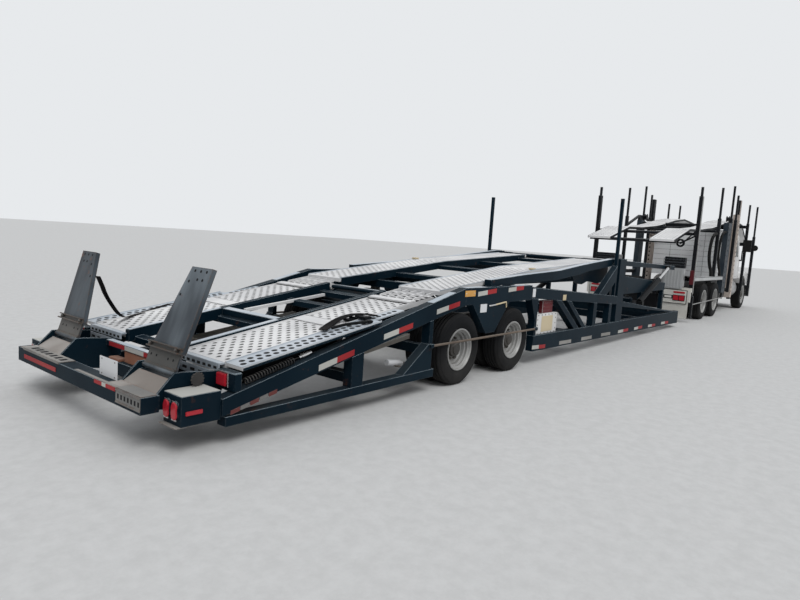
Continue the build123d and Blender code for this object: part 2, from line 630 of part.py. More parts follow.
def truck_running_gear():
    """Drive axles, the front beam axle and the springs under the rails."""
    end = twin_inside(DRIVE_WHEEL, DRIVE_WHEEL_OUT) - 6 + SPINDLE_DEPTH - 5
    seat_top = 560
    axles = []
    for x in DRIVE_AXLES:
        axle = cross_rod((x, DRIVE_WHEEL.radius), (-end, end), DRIVE_WHEEL.bore)
        axle += Pos(x, 0, DRIVE_WHEEL.radius) * Sphere(200)
        for band in bands(CHASSIS_Y):
            axle += box((x - 70, x + 70), band, (DRIVE_WHEEL.radius, seat_top))
        axles.append(axle)
    rear_spring = box((DRIVE_AXLES[0] - 250, DRIVE_AXLES[1] + 250), CHASSIS_Y, (seat_top, CHASSIS_Z[0]))
    front_spring = plate(
        ((STEER_AXLE_X - 700, CHASSIS_Z[0]), (STEER_AXLE_X - 60, 515), (STEER_AXLE_X + 60, 515),
         (STEER_AXLE_X + 700, CHASSIS_Z[0])),
        CHASSIS_Y,
    )
    save("truck_springs", *pair(rear_spring, front_spring))
    beam = box((STEER_AXLE_X - 55, STEER_AXLE_X + 55), (-KINGPIN_Y + 30, KINGPIN_Y - 30), (405, 515))
    for y in (-KINGPIN_Y, KINGPIN_Y):
        beam += upright(STEER_AXLE_X, y, 405, 515, 90)
        beam -= upright(STEER_AXLE_X, y, 404, 516, 50 + 2 * PIN_CLEARANCE)
    save("truck_axles", beam, *axles)


def steering_knuckle(node, side):
    """The knuckle: a kingpin between two lugs, and the spindle that holds the wheel."""
    x = STEER_AXLE_X
    reach = STEER_WHEEL_OUT - STEER_WHEEL.width - 6
    body = upright(x, KINGPIN_Y, 360, 560, 50)
    for low, high in ((365, 400), (520, 555)):
        body += upright(x, KINGPIN_Y, low, high, 90)
        body += box((x - 40, x + 40), (KINGPIN_Y, reach - 15), (low, high))
    body += box((x - 40, x + 40), (reach - 40, reach - 14), (365, 555))
    body += cross_rod((x, STEER_WHEEL.radius), (reach - 15, reach + SPINDLE_DEPTH - 5), STEER_WHEEL.bore)
    save(node, body if side > 0 else flip(body))


def wheels():
    """Every wheel body, twin ones on the trailer and drive axles."""
    rows = (
        ("trailer_wheel", TRAILER_WHEEL, TRAILER_AXLES, SIDE_Y),
        ("drive_wheel", DRIVE_WHEEL, DRIVE_AXLES, DRIVE_WHEEL_OUT),
    )
    for name, spec, axles, y_out in rows:
        for x, row in zip(axles, ("rear", "front")):
            for hand, side in HANDS:
                wheel(f"{name}_{row}_{hand}", spec, x, side, y_out, twin_inside(spec, y_out))
    for hand, side in HANDS:
        wheel(f"steer_wheel_{hand}", STEER_WHEEL, STEER_AXLE_X, side, STEER_WHEEL_OUT,
              STEER_WHEEL_OUT - STEER_WHEEL.width)


def cab_outline(inset):
    """The cab's side view, drawn in by the thickness of its walls."""
    t = inset
    rear = CAB_REAR_X + t
    return (
        (rear, CAB_FLOOR_Z + t),
        (FIREWALL_X - t, CAB_FLOOR_Z + t),
        (FIREWALL_X - t, SCREEN_BASE[1] - 0.6 * t),
        (SCREEN_BASE[0] - 0.8 * t, SCREEN_BASE[1] - 0.3 * t),
        (ROOF_FRONT[0] - 0.7 * t, ROOF_FRONT[1] - t),
        (ROOF_CROWN[0], ROOF_CROWN[1] - t),
        (rear, ROOF_REAR_Z - t),
    )


def door_outline(gap):
    """The door's side view, drawn in by a gap from its opening."""
    rear, front = DOOR_X[0] + gap, DOOR_X[1] - gap
    low, high = DOOR_Z[0] + gap, DOOR_Z[1] - gap
    return ((rear, low), (front, low), (front, DOOR_SHOULDER_Z), (DOOR_TOP_X - gap, high), (rear, high))


def window_outline(gap):
    """The side window, whose front edge follows the windscreen pillar."""
    rear, low, high = DOOR_X[0] + 110 + gap, WINDOW_SILL_Z + gap, DOOR_Z[1] - 90 - gap
    return ((rear, low), (DOOR_X[1] - 140 - gap, low), (DOOR_TOP_X - 70 - gap, high), (rear, high))


def screen_slice(upper, lower):
    """The windscreen's slope between the scuttle and the roof, from one height above it to another."""
    slope = Line(SCREEN_BASE, ROOF_FRONT)
    ends = (SCREEN_BASE[0] - 50, ROOF_FRONT[0] + 60)
    return [(x, at(slope, x) + upper) for x in ends] + [(x, at(slope, x) + lower) for x in reversed(ends)]


def cab():
    """The cab and sleeper shells, with door and window openings, and the fixed glass."""
    band = (-CAB_Y, CAB_Y)
    inside = (-CAB_Y + WALL, CAB_Y - WALL)
    shell = plate(cab_outline(0), band) - plate(cab_outline(WALL), inside)
    shell -= plate(door_outline(0), (-CAB_Y - 1, CAB_Y + 1))
    cut = screen_slice(70, -70)
    halves = bands((25, CAB_Y - 110))
    for half in halves:
        shell -= plate(cut, half)
    passage = (-SLEEPER_Y + WALL, SLEEPER_Y - WALL)
    shell -= box((CAB_REAR_X - 1, CAB_REAR_X + WALL + 1), passage, (CAB_FLOOR_Z + WALL, ROOF_REAR_Z - WALL))
    save("truck_cab", shell)
    pane = screen_slice(-20, -20 - 2 * GLASS)
    save("truck_windscreen", *[plate(pane, half) for half in halves])
    rear, front, roof = SLEEPER_REAR_X, CAB_REAR_X, ROOF_REAR_Z
    room = box((rear, front), (-SLEEPER_Y, SLEEPER_Y), (CAB_FLOOR_Z, roof))
    space = box((rear + WALL, front + 1), passage, (CAB_FLOOR_Z + WALL, roof - WALL))
    save("truck_sleeper", room - space)


def cab_door(node, side):
    """A door as thick as the cab's wall, with its window cut."""
    panel = plate(door_outline(DOOR_GAP), (CAB_Y - WALL, CAB_Y)) - plate(window_outline(0), (0, CAB_Y + 1))
    for z in DOOR_HINGES_Z:
        panel += upright(DOOR_X[1] - DOOR_GAP, CAB_Y, z, z + 110, 2 * DOOR_GAP - 1)
    save(node, panel if side > 0 else flip(panel))
    pane = plate(window_outline(0), (CAB_Y - 30, CAB_Y - 30 + GLASS))
    save(f"{node}_glass", pane if side > 0 else flip(pane))


def cab_inside():
    """Seats, the dash with its steering wheel, and the engine ahead of the firewall."""
    floor = CAB_FLOOR_Z + WALL
    seats = []
    for y in (-520, 520):
        seat = box((7900, 8380), (y - 250, y + 250), (floor, 1400))
        seat += plate(((7900, 1399), (8040, 1399), (7930, 2000), (7810, 2000)), (y - 240, y + 240))
        seats.append(seat)
    dash = plate(((8700, 1250), (FIREWALL_X - WALL, 1250), (FIREWALL_X - WALL, 1560), (8750, 1560)),
                 (-CAB_Y + WALL, CAB_Y - WALL))
    dash += rod((8760, 520, 1400), (8560, 520, 1500), 60)
    dash += Plane(origin=(8560, 520, 1500), z_dir=(-200, 0, 100)) * Torus(220, 16)
    dash += Plane(origin=(8560, 520, 1500), z_dir=(-200, 0, 100)) * Box(430, 40, 16)
    save("cab_interior", dash, *seats)
    engine = box((9250, 10450), (-290, 290), (560, 1240))
    for x in (9350, 10250):
        engine += box((x, x + 80), (-CHASSIS_Y[0], CHASSIS_Y[0]), (680, 780))
    save("truck_engine", engine)


def fender():
    """A fender: a skin over the front wheel, open below and towards the wheel."""
    rear, front, s = STEER_AXLE_X - 490, STEER_AXLE_X + 1150, HOOD_SKIN
    crown = STEER_WHEEL.radius + ARCH_RADIUS + 115
    outline = ((rear, crown - 190), (rear + 240, crown - 40), (rear + 840, crown), (front - 200, crown - 70),
               (front, crown - 200), (front, FENDER_LOW_Z), (rear, FENDER_LOW_Z))
    hollow = ((rear + s, crown - 190 - s), (rear + 240, crown - 40 - s), (rear + 840, crown - s),
              (front - 200, crown - 70 - s), (front - s, crown - 200 - s), (front - s, FENDER_LOW_Z - 10),
              (rear + s, FENDER_LOW_Z - 10))
    body = plate(outline, (HOOD_Y - 1, FENDER_Y)) - plate(hollow, (HOOD_Y - 2, FENDER_Y - s))
    lamp_z = (FENDER_LOW_Z + 70, FENDER_LOW_Z + 210)
    body += box((front - 1, front + 30), (HOOD_Y + 50, FENDER_Y - 55), lamp_z)
    arch = cross_rod((STEER_AXLE_X, STEER_WHEEL.radius), (HOOD_Y - 2, FENDER_Y + 1), 2 * ARCH_RADIUS)
    return body - arch


def hood():
    """The tilting hood with its fenders, grille and headlamps, and the fixed bumper."""
    nose, rear, s = NOSE_FACE_X, FIREWALL_X + 10, HOOD_SKIN
    outline = ((nose, 780), (nose, 1290), (nose - 120, 1400), (rear, 1640), (rear, 1010), (10200, 1010), (10300, 780))
    hollow = ((nose - s, 770), (nose - s, 1280), (nose - 120 - s, 1400 - s), (rear - 1, 1640 - s),
              (rear - 1, 1000), (10199, 1000), (10299, 770))
    shell = plate(outline, (-HOOD_Y, HOOD_Y)) - plate(hollow, (-HOOD_Y + s, HOOD_Y - s))
    shell -= box((nose - 60, nose + 10), (-GRILLE_Y, GRILLE_Y), GRILLE_Z)
    wing = fender()
    x, z = HOOD_HINGE
    lug = plate(((x - 30, z - 30), (x + 30, z - 30), (nose - 20, 785), (nose - 20, 830), (x, 830), (x - 30, z + 60)),
                HOOD_LUG_Y)
    lug -= cross_rod(HOOD_HINGE, (HOOD_LUG_Y[0] - 1, HOOD_LUG_Y[1] + 1), 30 + 2 * PIN_CLEARANCE)
    wing += lug
    save("truck_hood", shell + wing + flip(wing))
    bars = [box((nose - 22, nose), (-GRILLE_Y, GRILLE_Y), (z, z + 22)) for z in range(862, 1220, 48)]
    save("truck_grille", *bars)
    bumper = box((nose + 10, NOSE_X), (-FENDER_Y - 25, FENDER_Y + 25), BUMPER_FRONT_Z)
    for band, pin in zip(bands(CHASSIS_Y), bands((CHASSIS_Y[1] - 5, HOOD_LUG_Y[1] + 5))):
        bumper += box((CHASSIS_X[1], nose + 11), band, (640, 720))
        bumper += cross_rod(HOOD_HINGE, pin, 30)
    for y in (-TOW_Y, TOW_Y):
        bumper += box((NOSE_X - 95, NOSE_X - 5), (y - 45, y + 45), (BUMPER_FRONT_Z[0] - 40, BUMPER_FRONT_Z[0] + 1))
        bumper -= upright(NOSE_X - 50, y, BUMPER_FRONT_Z[0] - 41, BUMPER_FRONT_Z[0], 40)
    save("truck_bumper", bumper)


def side_gear():
    """What hangs on the rails: fuel tanks, tool boxes, mud flaps and mirrors."""
    tank = rod((7725, 850, 690), (8775, 850, 690), 600)
    for x in (7900, 8550):
        tank += box((x, x + 80), (CHASSIS_Y[1], 600), (650, 730))
    bar_top = 840
    locker = box((REAR_PLANE_X + 10, 2900), (570, 1000), (bar_top, 1530))
    save("truck_tanks_and_lockers", *pair(tank, locker))
    flap = box((REAR_PLANE_X + 10, REAR_PLANE_X + 25), (640, 1230), (100, 505))
    flap += box((REAR_PLANE_X, REAR_PLANE_X + 40), (600, 1270), (500, 780))
    flap += box((CHASSIS_X[0] + 20, CHASSIS_X[0] + 80), (CHASSIS_Y[1], 1270), (bar_top - 100, bar_top))
    flap += box((REAR_PLANE_X, CHASSIS_X[0] + 30), (600, 1270), (bar_top - 100, 779))
    save("truck_mud_flaps", *pair(flap))
    head = box((8905, 8945), (1160, 1400), (1860, 2240)) + box((8910, 8940), (CAB_Y, 1170), (1560, 1600))
    head += box((8910, 8940), (1150, 1180), (1561, 1880))
    save("truck_mirrors", *pair(head))


def rack_post(p):
    """A post of the rack: a sleeve, and the tube that slides in it."""
    post = box((p.x, p.x + p.depth), RACK_Y, (p.foot, p.sleeve))
    if p.head > p.sleeve:
        x, y, reach = p.x + p.depth / 2, sum(RACK_Y) / 2, RACK_TUBE / 2
        post += box((x - reach, x + reach), (y - reach, y + reach), (p.sleeve - 1, p.head))
    return post


def rack():
    """Posts, masts and runways of the loading rack, whose rear deck tilts on a hinge tube."""
    posts = [rack_post(p) for p in (*RACK_POSTS, RACK_COLUMN, RACK_MAST)]
    save("rack_posts", *pair(*posts))
    rear_post, mid_post = RACK_POSTS[0], RACK_POSTS[1]
    sills = [box((rear_post.x + rear_post.depth, mid_post.x), RACK_Y, RACK_SILL_Z),
             box((mid_post.x + mid_post.depth, RACK_COLUMN.x), RACK_Y, RACK_SILL_Z)]
    arms = []
    for p in (RACK_POSTS[0], *RACK_POSTS[2:], RACK_COLUMN, RACK_MAST):
        arms.append(box((p.x, p.x + min(p.depth, 120)), (CHASSIS_Y[1], RACK_Y[0]), OUTRIGGER_Z))
    save("rack_supports", *pair(*sills, *arms))
    save("rack_front_runways", *pair(plank(RACK_FRONT, RACK_PLANK, RACK_RUNWAY_Y)))
    across = (-RACK_Y[0], RACK_Y[0])
    bars = [tie(RACK_FRONT, x, 60, RACK_PLANK, 90, across) for x in RACK_FRONT_TIES_X]
    bars.append(cross_rod(RACK_HINGE, across, 70))
    save("rack_cross_members", *bars)
    deck = plank(RACK_REAR, RACK_PLANK, RACK_RUNWAY_Y) + cross_rod(RACK_HINGE, RACK_RUNWAY_Y, 110)
    deck -= cross_rod(RACK_HINGE, (RACK_RUNWAY_Y[0] - 1, RACK_RUNWAY_Y[1] + 1), 70 + 2 * PIN_CLEARANCE)
    save("rack_rear_runways", *pair(deck))
    save("rack_rear_ties", *[tie(RACK_REAR, x, 80, RACK_PLANK, 60, (-half, half)) for x, half in RACK_REAR_TIES])


HANDS = (("left", 1), ("right", -1))

trailer_side_frames()
trailer_cross_members()
trailer_coupler()
trailer_tail()
trailer_running_gear()
trailer_stores()
rear_deck()
mid_deck()
front_deck()
deck_cylinders()
chassis()
truck_running_gear()
wheels()
cab()
cab_inside()
hood()
side_gear()
rack()
for hand, side in HANDS:
    tail_flap(f"tail_flap_{hand}", side)
    steering_knuckle(f"steering_knuckle_{hand}", side)
    cab_door(f"cab_door_{hand}", side)
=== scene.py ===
# %% [markdown]
# # A car transporter, dressed for its portrait
# The steelwork comes in as a finished frame: every beam, deck, wheel and door is already
# in its real place, in metres, with +X forward, +Y to the left and +Z up. This lesson adds
# what the eye reads first on such a truck: worn paint, tread plate, tyres, tape and lamps.

# %% Frame
import math

import bmesh
import bpy
from mathutils import Matrix, Vector


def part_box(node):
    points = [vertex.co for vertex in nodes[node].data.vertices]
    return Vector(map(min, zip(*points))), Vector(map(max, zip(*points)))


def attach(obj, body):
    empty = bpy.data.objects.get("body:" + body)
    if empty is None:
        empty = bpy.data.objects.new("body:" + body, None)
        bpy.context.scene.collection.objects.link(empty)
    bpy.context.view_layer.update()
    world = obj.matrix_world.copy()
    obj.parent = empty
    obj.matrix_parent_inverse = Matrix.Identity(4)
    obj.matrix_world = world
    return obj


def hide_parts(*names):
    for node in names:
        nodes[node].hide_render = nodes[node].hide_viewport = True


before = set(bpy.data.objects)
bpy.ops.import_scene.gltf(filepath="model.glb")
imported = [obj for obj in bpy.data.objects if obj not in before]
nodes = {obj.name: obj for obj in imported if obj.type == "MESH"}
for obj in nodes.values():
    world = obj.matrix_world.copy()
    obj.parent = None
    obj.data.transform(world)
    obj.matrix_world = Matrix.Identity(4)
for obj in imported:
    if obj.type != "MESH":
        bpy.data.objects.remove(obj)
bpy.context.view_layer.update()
scene = bpy.context.scene

# %% [markdown]
# ## The camera
# The picture was taken by someone standing behind the right-hand tail corner with a wide
# lens. Three turns place such a camera: a heading, a tilt down and a small roll. The view
# matrix is built from the three directions themselves, which is easier to check than a
# string of Euler angles.

# %% Camera
HEADING, TILT, ROLL = (math.radians(a) for a in (38.69, 5.9, 3.82))
ahead = Vector((math.cos(HEADING) * math.cos(TILT), math.sin(HEADING) * math.cos(TILT), -math.sin(TILT)))
level_right = Vector((math.sin(HEADING), -math.cos(HEADING), 0))
level_up = level_right.cross(ahead)
right = math.cos(ROLL) * level_right + math.sin(ROLL) * level_up
up = -math.sin(ROLL) * level_right + math.cos(ROLL) * level_up

lens = bpy.data.cameras.new("portrait_camera")
lens.lens, lens.sensor_width = 27.05, 36
lens.clip_end = 400
camera = bpy.data.objects.new("portrait_camera", lens)
turn = Matrix((right, up, -ahead)).transposed().to_4x4()
camera.matrix_world = Matrix.Translation((-13.00, -4.83, 1.58)) @ turn
scene.collection.objects.link(camera)
scene.camera = camera
print("camera looks along", [round(v, 3) for v in ahead])

# %% [markdown]
# ## The studio
# An overcast sky is a huge soft lamp, so the world does most of the lighting, brighter
# above than at the sides, and one wide, soft sun gives the decks a direction. The floor is
# plain and pale. The camera and the reflections see a pale backdrop through Light Path,
# which changes nothing about the light on the paint.

# %% Studio
scene.view_settings.view_transform = "Standard"
world = bpy.data.worlds.new("overcast")
scene.world = world
world.use_nodes = True
sky = world.node_tree
sky.nodes.clear()


def add(tree, kind, **values):
    """A node with its settings and its unlinked inputs set by name."""
    node = tree.nodes.new(kind)
    for name, value in values.items():
        if name in node.inputs:
            node.inputs[name].default_value = value
        else:
            setattr(node, name, value)
    return node


def wire(tree, *pairs):
    """Links given as (node, output name, node, input name)."""
    for source, out, target, into in pairs:
        tree.links.new(source.outputs[out], target.inputs[into])


path = add(sky, "ShaderNodeLightPath")
place = add(sky, "ShaderNodeTexCoord")
height = add(sky, "ShaderNodeSeparateXYZ")
shade = add(sky, "ShaderNodeValToRGB")
SKY_STOPS = ((0.48, (0.17, 0.17, 0.175, 1)), (0.92, (0.86, 0.88, 0.92, 1)))
for stop, (level, colour) in zip(shade.color_ramp.elements, SKY_STOPS):
    stop.position, stop.color = level, colour
half = add(sky, "ShaderNodeMapRange", **{"From Min": -1})
lit = add(sky, "ShaderNodeBackground")
seen = add(sky, "ShaderNodeBackground", Color=(0.8, 0.82, 0.84, 1))
bright = add(sky, "ShaderNodeMath", operation="MAXIMUM")
either = add(sky, "ShaderNodeMath", operation="MAXIMUM")
choose = add(sky, "ShaderNodeMixShader")
out = add(sky, "ShaderNodeOutputWorld")
wire(sky, (place, "Generated", height, 0), (height, "Z", half, "Value"), (half, "Result", shade, "Fac"),
     (shade, "Color", lit, "Color"), (path, "Is Glossy Ray", bright, 0),
     (path, "Is Transmission Ray", bright, 1), (path, "Is Camera Ray", either, 0), (bright, 0, either, 1),
     (either, 0, choose, 0), (lit, 0, choose, 1), (seen, 0, choose, 2), (choose, 0, out, 0))

lamp = bpy.data.lights.new("soft_sun", "SUN")
lamp.energy, lamp.angle = 1.3, math.radians(30)
sun = bpy.data.objects.new("soft_sun", lamp)
sun.rotation_euler = (math.radians(28), math.radians(-24), math.radians(8))
scene.collection.objects.link(sun)

floor_mesh = bpy.data.meshes.new("floor")
floor_mesh.from_pydata([(-150, -150, 0), (150, -150, 0), (150, 150, 0), (-150, 150, 0)], [], [(0, 1, 2, 3)])
floor = bpy.data.objects.new("floor", floor_mesh)
scene.collection.objects.link(floor)
print("studio: one world, one sun, one floor")

# %% [markdown]
# ## Shared effects
# Paint, steel and rubber on a working truck share the same ageing: dust that gathers low
# down and on top, grime in patches, and bright or rusty chips along edges. Edges that face
# up can also get a painted sky highlight. Each effect is one shader node group, built once,
# and each material only chooses its amounts.
# The bevel node looks at how the surface turns within a few millimetres, so the
# difference between its normal and the true one marks the edges.

# %% Effect groups


def group(name, inputs, *outputs):
    """An empty shader group with plain numbers as inputs and outputs."""
    tree = bpy.data.node_groups.new(name, "ShaderNodeTree")
    for label, value in inputs.items():
        tree.interface.new_socket(label, in_out="INPUT", socket_type="NodeSocketFloat").default_value = value
    for label in outputs:
        tree.interface.new_socket(label, in_out="OUTPUT", socket_type="NodeSocketFloat")
    return tree, tree.nodes.new("NodeGroupInput"), tree.nodes.new("NodeGroupOutput")


def join(tree, source, socket):
    """Links a (node, output name) to a socket."""
    tree.links.new(source[0].outputs[source[1]], socket)


def maths(tree, operation, a, b=0.5, clamp=False):
    """One arithmetic step; a and b are numbers or (node, output name)."""
    node = tree.nodes.new("ShaderNodeMath")
    node.operation, node.use_clamp = operation, clamp
    for i, v in enumerate((a, b)):
        if isinstance(v, tuple):
            join(tree, v, node.inputs[i])
        else:
            node.inputs[i].default_value = v
    return (node, 0)


def mixed(tree, mask, below, above):
    """A colour mix; the mask is a (node, output name), and each colour is one too or a value."""
    node = add(tree, "ShaderNodeMix", data_type="RGBA")
    for socket, v in ((node.inputs[0], mask), (node.inputs[6], below), (node.inputs[7], above)):
        if isinstance(v[0], bpy.types.Node):
            join(tree, v, socket)
        else:
            socket.default_value = (*v, 1)
    return (node, 2)


def noise(tree, vector, scale, detail, rough):
    """Fractal noise over a vector output."""
    node = add(tree, "ShaderNodeTexNoise", Scale=scale, Detail=detail, Roughness=rough)
    join(tree, vector, node.inputs["Vector"])
    return (node, "Fac")


def banded(tree, value, low, high):
    """A smooth 0 to 1 step of a value between two levels."""
    limits = {"From Min": low, "From Max": high}
    node = add(tree, "ShaderNodeMapRange", interpolation_type="SMOOTHSTEP", **limits)
    join(tree, value, node.inputs["Value"])
    return (node, "Result")


def edge_wear_and_highlight_group():
    """Mask: how bare the edges are, broken up by noise. Painted Highlight: a painted sky highlight on the
    edges that face up.
    """
    tree, ins, outs = group("edge_wear_and_highlight", {"Width": 0.006, "Amount": 0.5}, "Mask", "Painted Highlight")
    bevel = add(tree, "ShaderNodeBevel", samples=4)
    true = add(tree, "ShaderNodeNewGeometry")
    dot = add(tree, "ShaderNodeVectorMath", operation="DOT_PRODUCT")
    wire(tree, (ins, "Width", bevel, "Radius"), (bevel, 0, dot, 0), (true, "Normal", dot, 1))
    turned_away = maths(tree, "SUBTRACT", 1.0, (dot, "Value"))
    spread = banded(tree, turned_away, 0.02, 0.2)
    place = add(tree, "ShaderNodeTexCoord")
    broken = banded(tree, noise(tree, (place, "Object"), 30.0, 5.0, 0.7), 0.42, 0.6)
    mask = maths(tree, "MULTIPLY", maths(tree, "MULTIPLY", spread, broken), (ins, "Amount"), True)
    join(tree, mask, outs.inputs["Mask"])
    round_edge = add(tree, "ShaderNodeSeparateXYZ")
    wire(tree, (bevel, 0, round_edge, 0))
    skyward = banded(tree, (round_edge, "Z"), 0.15, 0.6)
    patchy = banded(tree, noise(tree, (place, "Object"), 3.0, 4.0, 0.6), 0.25, 0.5)
    painted_highlight = maths(tree, "MULTIPLY", maths(tree, "MULTIPLY", spread, skyward), patchy, True)
    join(tree, painted_highlight, outs.inputs["Painted Highlight"])
    return tree


def dust_group():
    """Mask: dust that lies on top faces and thickens towards the ground."""
    tree, ins, outs = group("road_dust", {"Top": 0.4, "Low": 0.5, "Height": 0.8}, "Mask")
    geometry = add(tree, "ShaderNodeNewGeometry")
    facing = add(tree, "ShaderNodeSeparateXYZ")
    place = add(tree, "ShaderNodeTexCoord")
    where = add(tree, "ShaderNodeSeparateXYZ")
    wire(tree, (geometry, "Normal", facing, 0), (place, "Object", where, 0))
    topside = maths(tree, "MULTIPLY", banded(tree, (facing, "Z"), 0.3, 0.95), (ins, "Top"))
    low = maths(tree, "SUBTRACT", 1.0, maths(tree, "DIVIDE", (where, "Z"), (ins, "Height")), True)
    low = maths(tree, "MULTIPLY", low, (ins, "Low"))
    patch = banded(tree, noise(tree, (place, "Object"), 2.5, 6.0, 0.65), 0.3, 0.72)
    total = maths(tree, "ADD", topside, low, True)
    mask = maths(tree, "MULTIPLY", total, maths(tree, "ADD", patch, 0.25), True)
    join(tree, mask, outs.inputs["Mask"])
    return tree


def grain_group():
    """Height and Tone: fine unevenness, stretched along, across and up by Streak, Across and Rise."""
    stretches = {"Streak": 1.0, "Across": 1.0, "Rise": 1.0}
    tree, ins, outs = group("grain", {"Scale": 40.0, **stretches}, "Height", "Tone")
    place = add(tree, "ShaderNodeTexCoord")
    size = add(tree, "ShaderNodeCombineXYZ")
    for label, axis in zip(stretches, "XYZ"):
        wire(tree, (ins, label, size, axis))
    stretched = add(tree, "ShaderNodeVectorMath", operation="MULTIPLY")
    wire(tree, (place, "Object", stretched, 0), (size, 0, stretched, 1))
    fine = noise(tree, (stretched, 0), 40.0, 6.0, 0.6)
    wire(tree, (ins, "Scale", fine[0], "Scale"))
    join(tree, fine, outs.inputs["Height"])
    join(tree, noise(tree, (stretched, 0), 1.6, 3.0, 0.5), outs.inputs["Tone"])
    return tree


EDGE_WEAR_AND_HIGHLIGHT, DUST, GRAIN = edge_wear_and_highlight_group(), dust_group(), grain_group()
DUST_COLOUR = (0.36, 0.335, 0.3)
print("groups:", EDGE_WEAR_AND_HIGHLIGHT.name, DUST.name, GRAIN.name)

# %% [markdown]
# ## Materials
# One recipe serves every hard surface: a base colour varied by slow noise, bare metal or
# rust where the edges are worn, dust over all of it, and a fine bump. What makes chassis
# paint, tread plate and rubber differ is the numbers. The shader itself stays in each
# material, because an exporter can't look for it inside a group. Each line gives the two
# tones, the roughness, the edge wear, and the dust on top faces and low down, in that order,
# and then names what is particular to it.

# %% Material recipe


def use(tree, which, **values):
    """One of the shared groups, placed with its own values."""
    node = tree.nodes.new("ShaderNodeGroup")
    node.node_tree = which
    for name, value in values.items():
        node.inputs[name].default_value = value
    return node


def finish(name, colour, second, rough, wear, top, low, height=0.8, dust=DUST_COLOUR, metal=0.0, gloss=0.5,
           coat=0.0, bare=(0.45, 0.45, 0.44), width=0.006, painted_highlight=None, rust=0.0, grain=60.0, across=1.0,
           rise=1.0, bump=0.15):
    """A surface in two linear tones, its roughness, edge wear, and the dust on top faces and low down."""
    material = bpy.data.materials.new(name)
    material.use_nodes = True
    tree = material.node_tree
    shader = tree.nodes["Principled BSDF"]
    texture = use(tree, GRAIN, Scale=grain, Across=across, Rise=rise)
    edges = use(tree, EDGE_WEAR_AND_HIGHLIGHT, Width=width, Amount=wear)
    dusty = use(tree, DUST, Top=top, Low=low, Height=height)
    colour_now = mixed(tree, banded(tree, (texture, "Tone"), 0.35, 0.65), colour, second or colour)
    if rust:
        place = add(tree, "ShaderNodeTexCoord")
        spots = banded(tree, noise(tree, (place, "Object"), 7.0, 8.0, 0.72), 0.6, 0.7)
        spots = maths(tree, "MULTIPLY", spots, rust)
        colour_now = mixed(tree, spots, colour_now, (0.13, 0.045, 0.018))
    colour_now = mixed(tree, (edges, "Mask"), colour_now, bare)
    # A painted highlight on the edges that face up.
    if painted_highlight:
        colour_now = mixed(tree, (edges, "Painted Highlight"), colour_now, painted_highlight)
    colour_now = mixed(tree, (dusty, "Mask"), colour_now, dust)
    join(tree, colour_now, shader.inputs["Base Color"])
    dulled = maths(tree, "ADD", maths(tree, "MULTIPLY", (dusty, "Mask"), 0.35), rough, True)
    dulled = maths(tree, "ADD", maths(tree, "MULTIPLY", (texture, "Height"), 0.15), dulled, True)
    join(tree, dulled, shader.inputs["Roughness"])
    for label, value in (("Metallic", metal), ("Coat Weight", coat), ("Specular IOR Level", gloss)):
        shader.inputs[label].default_value = value
    relief = add(tree, "ShaderNodeBump", Strength=bump, Distance=0.004)
    wire(tree, (texture, "Height", relief, "Height"), (relief, "Normal", shader, "Normal"))
    return material


# SKY_HIGHLIGHT is a painted highlight: a pale colour laid on edges that face up, standing in for the sky they
# catch.
SKY_HIGHLIGHT = (0.42, 0.5, 0.55)
CHASSIS_PAINT = finish("chassis_paint", (0.0024, 0.0105, 0.0185), (0.0045, 0.015, 0.0245), 0.36, 0.45, 0.14,
                       0.05, bare=(0.16, 0.18, 0.19), width=0.009, rust=0.35, height=0.6,
                       dust=(0.12, 0.125, 0.12), painted_highlight=SKY_HIGHLIGHT, bump=0.08, gloss=0.05)
BLACK_PAINT = finish("black_paint", (0.009, 0.01, 0.012), (0.016, 0.018, 0.021), 0.4, 0.4, 0.2, 0.1,
                     dust=(0.14, 0.135, 0.13), painted_highlight=(0.25, 0.28, 0.3), gloss=0.1)
WHITE_PAINT = finish("white_paint", (0.74, 0.74, 0.73), (0.8, 0.8, 0.79), 0.3, 0.15, 0.15, 0.5, coat=0.3,
                     bare=(0.25, 0.24, 0.22), height=1.3)
TREAD_STEEL = finish("tread_steel", (0.62, 0.62, 0.62), (0.76, 0.76, 0.75), 0.5, 0.3, 0.1, 0.05, gloss=0.3,
                     bare=(0.6, 0.58, 0.55), dust=(0.45, 0.43, 0.4), grain=90)
STRIP_STEEL = finish("strip_steel", (0.42, 0.475, 0.525), (0.55, 0.59, 0.63), 0.4, 0.3, 0.08, 0.05,
                     metal=0.15, bare=(0.5, 0.48, 0.45), grain=70)
FLAP_STEEL = finish("flap_steel", (0.026, 0.036, 0.047), (0.155, 0.185, 0.208), 0.36, 0.9, 0.04, 0.03,
                    metal=0.3, bare=(0.12, 0.07, 0.045), width=0.02, rust=0.9, grain=9, across=2.0, rise=0.5,
                    bump=0.2)
# The left flap has a darker copy of the flap steel: painted shade.
FLAP_STEEL_SHADED = finish("flap_steel_painted_shade", (0.014, 0.02, 0.028), (0.066, 0.083, 0.098), 0.4, 0.9, 0.03, 0.03,
                   metal=0.3, bare=(0.11, 0.065, 0.04), width=0.02, rust=0.9, grain=9, across=2.0, rise=0.5,
                   bump=0.2)
